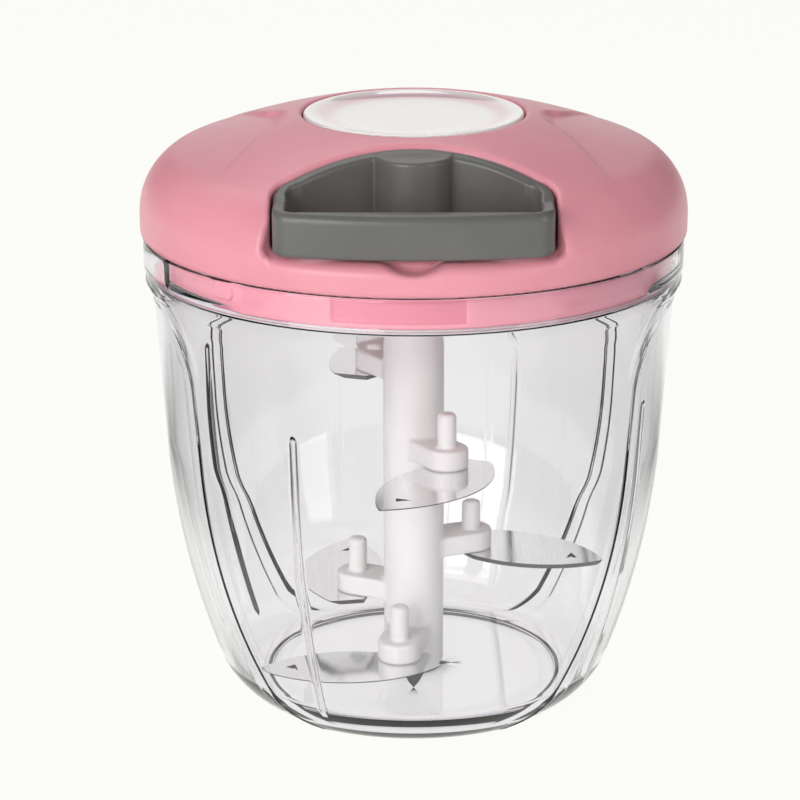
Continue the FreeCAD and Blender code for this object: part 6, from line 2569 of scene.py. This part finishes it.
@dataclass
class PlugScrews:
    """Screws that join the plug to the cover, with crossed slots and threads; sizes in mm.

    Attributes:
        circle: radius of the circle that they stand on.
        count: number of screws.
        first_angle: direction of the first in degrees.
        head_radius: radius of a head.
        crown_share: share of that radius that its lower face has.
        head_bottom: lower face of the heads.
        head_top: top of the heads.
        core: radius of the shank.
        thread: radius over the thread.
        thread_pitch: rise of the thread in a turn.
        thread_start: plain length of the shank below the thread.
        thread_end: plain length above it.
        tip: top of the points.
        tip_height: length of a point.
        point: radius of its end.
        slot_width: width of a slot.
        slot_length: its length.
        slot_depth: height of the bar that cuts it, half of which reaches into the head.
    """

    circle: float = 47.0
    count: int = 3
    first_angle: float = 90.0
    head_radius: float = 2.9
    crown_share: float = 0.78
    head_bottom: float = 102.95
    head_top: float = 104.6
    core: float = 1.1
    thread: float = 1.36
    thread_pitch: float = 0.9
    thread_start: float = 1.0
    thread_end: float = 1.4
    tip: float = 116.5
    tip_height: float = 1.0
    point: float = 0.2
    slot_width: float = 0.7
    slot_length: float = 3.2
    slot_depth: float = 0.9

    def build(self, material: bpy.types.Material) -> bpy.types.Object:
        """Set the screws.

        Args:
            material: the steel.

        Returns:
            The screws.
        """
        shank = self.tip - self.tip_height - self.head_top
        rise = self.tip - self.head_top - self.thread_start - self.thread_end
        tree = Tree("plug_screws", {
            "screws": self.count, "turned by": math.radians(self.first_angle),
            "turns": rise / self.thread_pitch,
        }, {
            "circle": self.circle, "head radius": self.head_radius, "head middle": self.head_bottom,
            "head height": self.head_top - self.head_bottom,
            "crown radius": self.head_radius * self.crown_share,
            "slot width": self.slot_width, "slot length": self.slot_length, "slot depth": self.slot_depth,
            "core": self.core, "shank": shank, "shank middle": self.head_top + shank / 2,
            "crest": self.thread - self.core / 2, "crest radius": self.core / 2, "thread rise": rise,
            "thread start": self.head_top + self.thread_start, "tip start": self.tip - self.tip_height,
            "tip height": self.tip_height, "point": self.point,
        })
        head = tree.lifted(tree.cone(40, "crown radius", "head radius", "head height"), "head middle")
        slotted = tree.shape("MeshBoolean", {0: head}, operation="DIFFERENCE", solver="EXACT")
        for first, second in (("slot length", "slot width"), ("slot width", "slot length")):
            bar = tree.shape("MeshCube", {"Size": tree.vector(X=first, Y=second, Z="slot depth")})
            tree.fill(slotted, {1: tree.lifted(bar, "head middle")})
        rod = tree.shape("MeshCylinder", {"Vertices": 24, "Radius": "core", "Depth": "shank"})
        tip = tree.cone(24, "core", "point", "tip height")
        helix = tree.lifted(tree.spiral("turns", ("crest", "crest"), "thread rise", 20), "thread start")
        ridge = tree.ring("crest radius", 4)
        screw = tree.joined([
            slotted, tree.lifted(rod, "shank middle"), tree.lifted(tip, "tip start"),
            tree.tube(helix, ridge),
        ])
        places = tree.shape("MeshCircle", {"Vertices": "screws", "Radius": "circle"})
        turned = tree.shape("Transform", {"Geometry": places, "Rotation": tree.vector(Z="turned by")})
        set_screws = tree.shape("InstanceOnPoints", {"Points": turned, "Instance": screw})
        piece = tree.bake("plug_screws", set_screws, material)
        return dress(piece, material, "lid", ["lid_screws"])


@dataclass(frozen=True)
class Lamp:
    """Rectangular soft lamp.

    Attributes:
        name: the lamp's name.
        place: where it hangs.
        target: the point it faces.
        size: its width and height.
        power: its power in watts.
    """

    name: str
    place: Point
    target: Point
    size: Corner
    power: float


LAMPS = (
    Lamp("key_softbox", (-0.62, -0.95, 0.42), (0.0, 0.0, 0.08), (0.85, 0.75), 9.0),
    Lamp("fill_softbox", (0.85, -0.65, 0.45), (0.0, 0.0, 0.08), (0.35, 0.9), 2.4),
    Lamp("top_softbox", (-0.25, 0.55, 1.0), (0.0, 0.0, 0.12), (0.9, 0.6), 2.6),
)


@dataclass
class Studio:
    """Floor, soft lamps, sky and camera of the picture.

    Attributes:
        floor_half: half the side of the floor in metres.
        floor_height: its height, just below the foot.
        floor_colour: colour of the floor.
        paper: colour of the floor and the sky as the camera and clear plastic see them.
        sky: brightness of the surroundings as a light.
        side: brightness of the dark sides that clear plastic and gloss show.
        floor_glow: share of the floor's whiteness that the object's shadow leaves.
        card_inner: distances to the side in metres between which the dark cards beside the object start.
        card_outer: distances to the side between which they end.
        card_depth: distances to the front and the back between which they end.
        backdrop_side: sideways shares of a direction between which the backdrop's white fades.
        backdrop_top: upward shares of a direction between which the backdrop ends.
        ceiling: brightness of the dark above the backdrop.
        camera_place: place of the camera in metres.
        camera_tilt: how far it looks down in degrees.
        lens: its focal length in millimetres.
        shift: its sideways shift as a share of the picture's width.
    """

    floor_half: float = 4.0
    floor_height: float = -0.0001
    floor_colour: Colour = (0.90, 0.90, 0.88)
    paper: Colour = (0.993, 1.0, 0.96)
    sky: float = 0.36
    side: float = 0.13
    floor_glow: float = 0.94
    card_inner: Corner = (0.085, 0.15)
    card_outer: Corner = (0.36, 0.46)
    card_depth: Corner = (0.17, 0.24)
    backdrop_side: Corner = (0.10, 0.40)
    backdrop_top: Corner = (0.42, 0.48)
    ceiling: float = 0.22
    camera_place: Point = (0.0, -0.6993, 0.2910)
    camera_tilt: float = 17.62
    lens: float = 140.4
    shift: float = -0.01709

    def build(self) -> None:
        """Make the whole studio."""
        self.add_floor()
        self.add_sky()
        for lamp in LAMPS:
            self.add_lamp(lamp)
        self.add_camera()

    def add_floor(self) -> None:
        """Make the plain pale floor, which keeps the object's shadow."""
        mesh = bpy.data.meshes.new("studio_floor")
        half, low = self.floor_half, self.floor_height
        corners = [(-half, -half, low), (half, -half, low), (half, half, low), (-half, half, low)]
        mesh.from_pydata(corners, [], [(0, 1, 2, 3)])
        floor = put("studio_floor", mesh)
        nodes = Nodes("floor_paper")
        nodes.fill(nodes.shader, {
            "Base Color": (*self.floor_colour, 1.0), "Roughness": 0.9, "Specular IOR Level": 0.1,
        })
        place = nodes.add("ShaderNodeSeparateXYZ", {"Vector": nodes.place}).outputs
        aside, ahead = [nodes.maths("ABSOLUTE", place[axis]) for axis in "XY"]
        start = nodes.step(aside, *self.card_inner, 0.0, 1.0)
        card = nodes.maths("MULTIPLY", start, nodes.step(aside, *self.card_outer, 1.0, 0.0))
        card = nodes.maths("MULTIPLY", card, nodes.step(ahead, *self.card_depth, 1.0, 0.0))
        bent = nodes.bent_ray()
        strength = nodes.blend(bent, 1.0, nodes.spread(card, 1.0, self.side))
        paper = nodes.add("ShaderNodeEmission", {"Color": (*self.paper, 1.0), "Strength": strength})
        seen = nodes.maths("MAXIMUM", nodes.add("ShaderNodeLightPath").outputs["Is Camera Ray"], bent)
        share = nodes.maths("MULTIPLY", seen, self.floor_glow)
        mix = nodes.add("ShaderNodeMixShader", {0: share, 1: nodes.shader, 2: paper})
        nodes.fill(nodes.output, {"Surface": mix})
        floor.data.materials.append(nodes.material)

    def add_sky(self) -> None:
        """Make the pale surroundings: white behind the object, dark at the sides for clear plastic."""
        world = bpy.data.worlds.new("studio_sky")
        bpy.context.scene.world = world
        world.use_nodes = True
        nodes = Graph(world.node_tree)
        nodes.tree.nodes.clear()
        direction = nodes.add("ShaderNodeTexCoord").outputs["Generated"]
        split = nodes.add("ShaderNodeSeparateXYZ", {"Vector": direction}).outputs
        fade = nodes.step(nodes.maths("ABSOLUTE", split["X"]), *self.backdrop_side, 1.0, self.side)
        high = nodes.step(split["Z"], *self.backdrop_top, 1.0, self.ceiling)
        light = nodes.blend(nodes.bent_ray(), self.sky, nodes.maths("MULTIPLY", fade, high))
        strength = nodes.blend(nodes.add("ShaderNodeLightPath").outputs["Is Camera Ray"], light, 1.0)
        background = nodes.add("ShaderNodeBackground", {"Color": (*self.paper, 1.0), "Strength": strength})
        nodes.add("ShaderNodeOutputWorld", {"Surface": background})

    @staticmethod
    def add_lamp(lamp: Lamp) -> None:
        """Hang a lamp.

        Args:
            lamp: the lamp to hang.
        """
        data = bpy.data.lights.new(lamp.name, "AREA")
        data.shape = "RECTANGLE"
        data.size, data.size_y = lamp.size
        data.energy = lamp.power
        hung = put(lamp.name, data)
        hung.location = lamp.place
        hung.rotation_euler = (Vector(lamp.target) - Vector(lamp.place)).to_track_quat("-Z", "Y").to_euler()

    def add_camera(self) -> None:
        """Place the camera at the photograph's viewpoint."""
        data = bpy.data.cameras.new("view")
        data.sensor_width = 36.0
        data.lens = self.lens
        data.shift_x = self.shift
        data.clip_start = 0.05
        data.clip_end = 20.0
        camera = put("view", data)
        camera.location = self.camera_place
        camera.rotation_euler = (math.radians(90.0 - self.camera_tilt), 0.0, 0.0)
        bpy.context.scene.camera = camera


def main() -> None:
    """Build the studio and every piece."""
    logging.basicConfig(level=logging.INFO, format="%(name)s: %(message)s")
    bpy.context.scene.view_settings.view_transform = "Standard"
    pink, grey, white = [plastic_material(finish) for finish in (PINK, GREY, WHITE)]
    blade, edge, steel, spring = [metal_material(finish) for finish in (BLADE, BLADE_EDGE_SHADE, STEEL, SPRING)]
    cord = cord_material(CORD)
    for name in ("spool", "spring_cover", "drive_hub"):
        dress_node(name, white)
    for name in ("bowl_pin", "pawl_1", "pawl_2", "axle", "axle_washer", "axle_screw"):
        dress_node(name, steel)
    cover = PinkCover()
    ClearBowl().build(clear_material(CLEAR))
    cover.build(pink)
    PullHandle(cover).build(grey)
    BladeShaft().build(white)
    BladeStack().build(blade, edge)
    LidPlug().build(pink, plastic_material(PINK_INSET_SHADE))
    CentreCap().build(plastic_material(WHITE_GLOSS))
    SealRing().build(plastic_material(SILICONE))
    cords = CordParts()
    cords.build_winding(cord)
    cords.build_lead(cord)
    cords.build_knot(cord)
    RecoilStrip().build(spring)
    PlugScrews().build(steel)
    Studio().build()


if __name__ == "__main__":
    main()
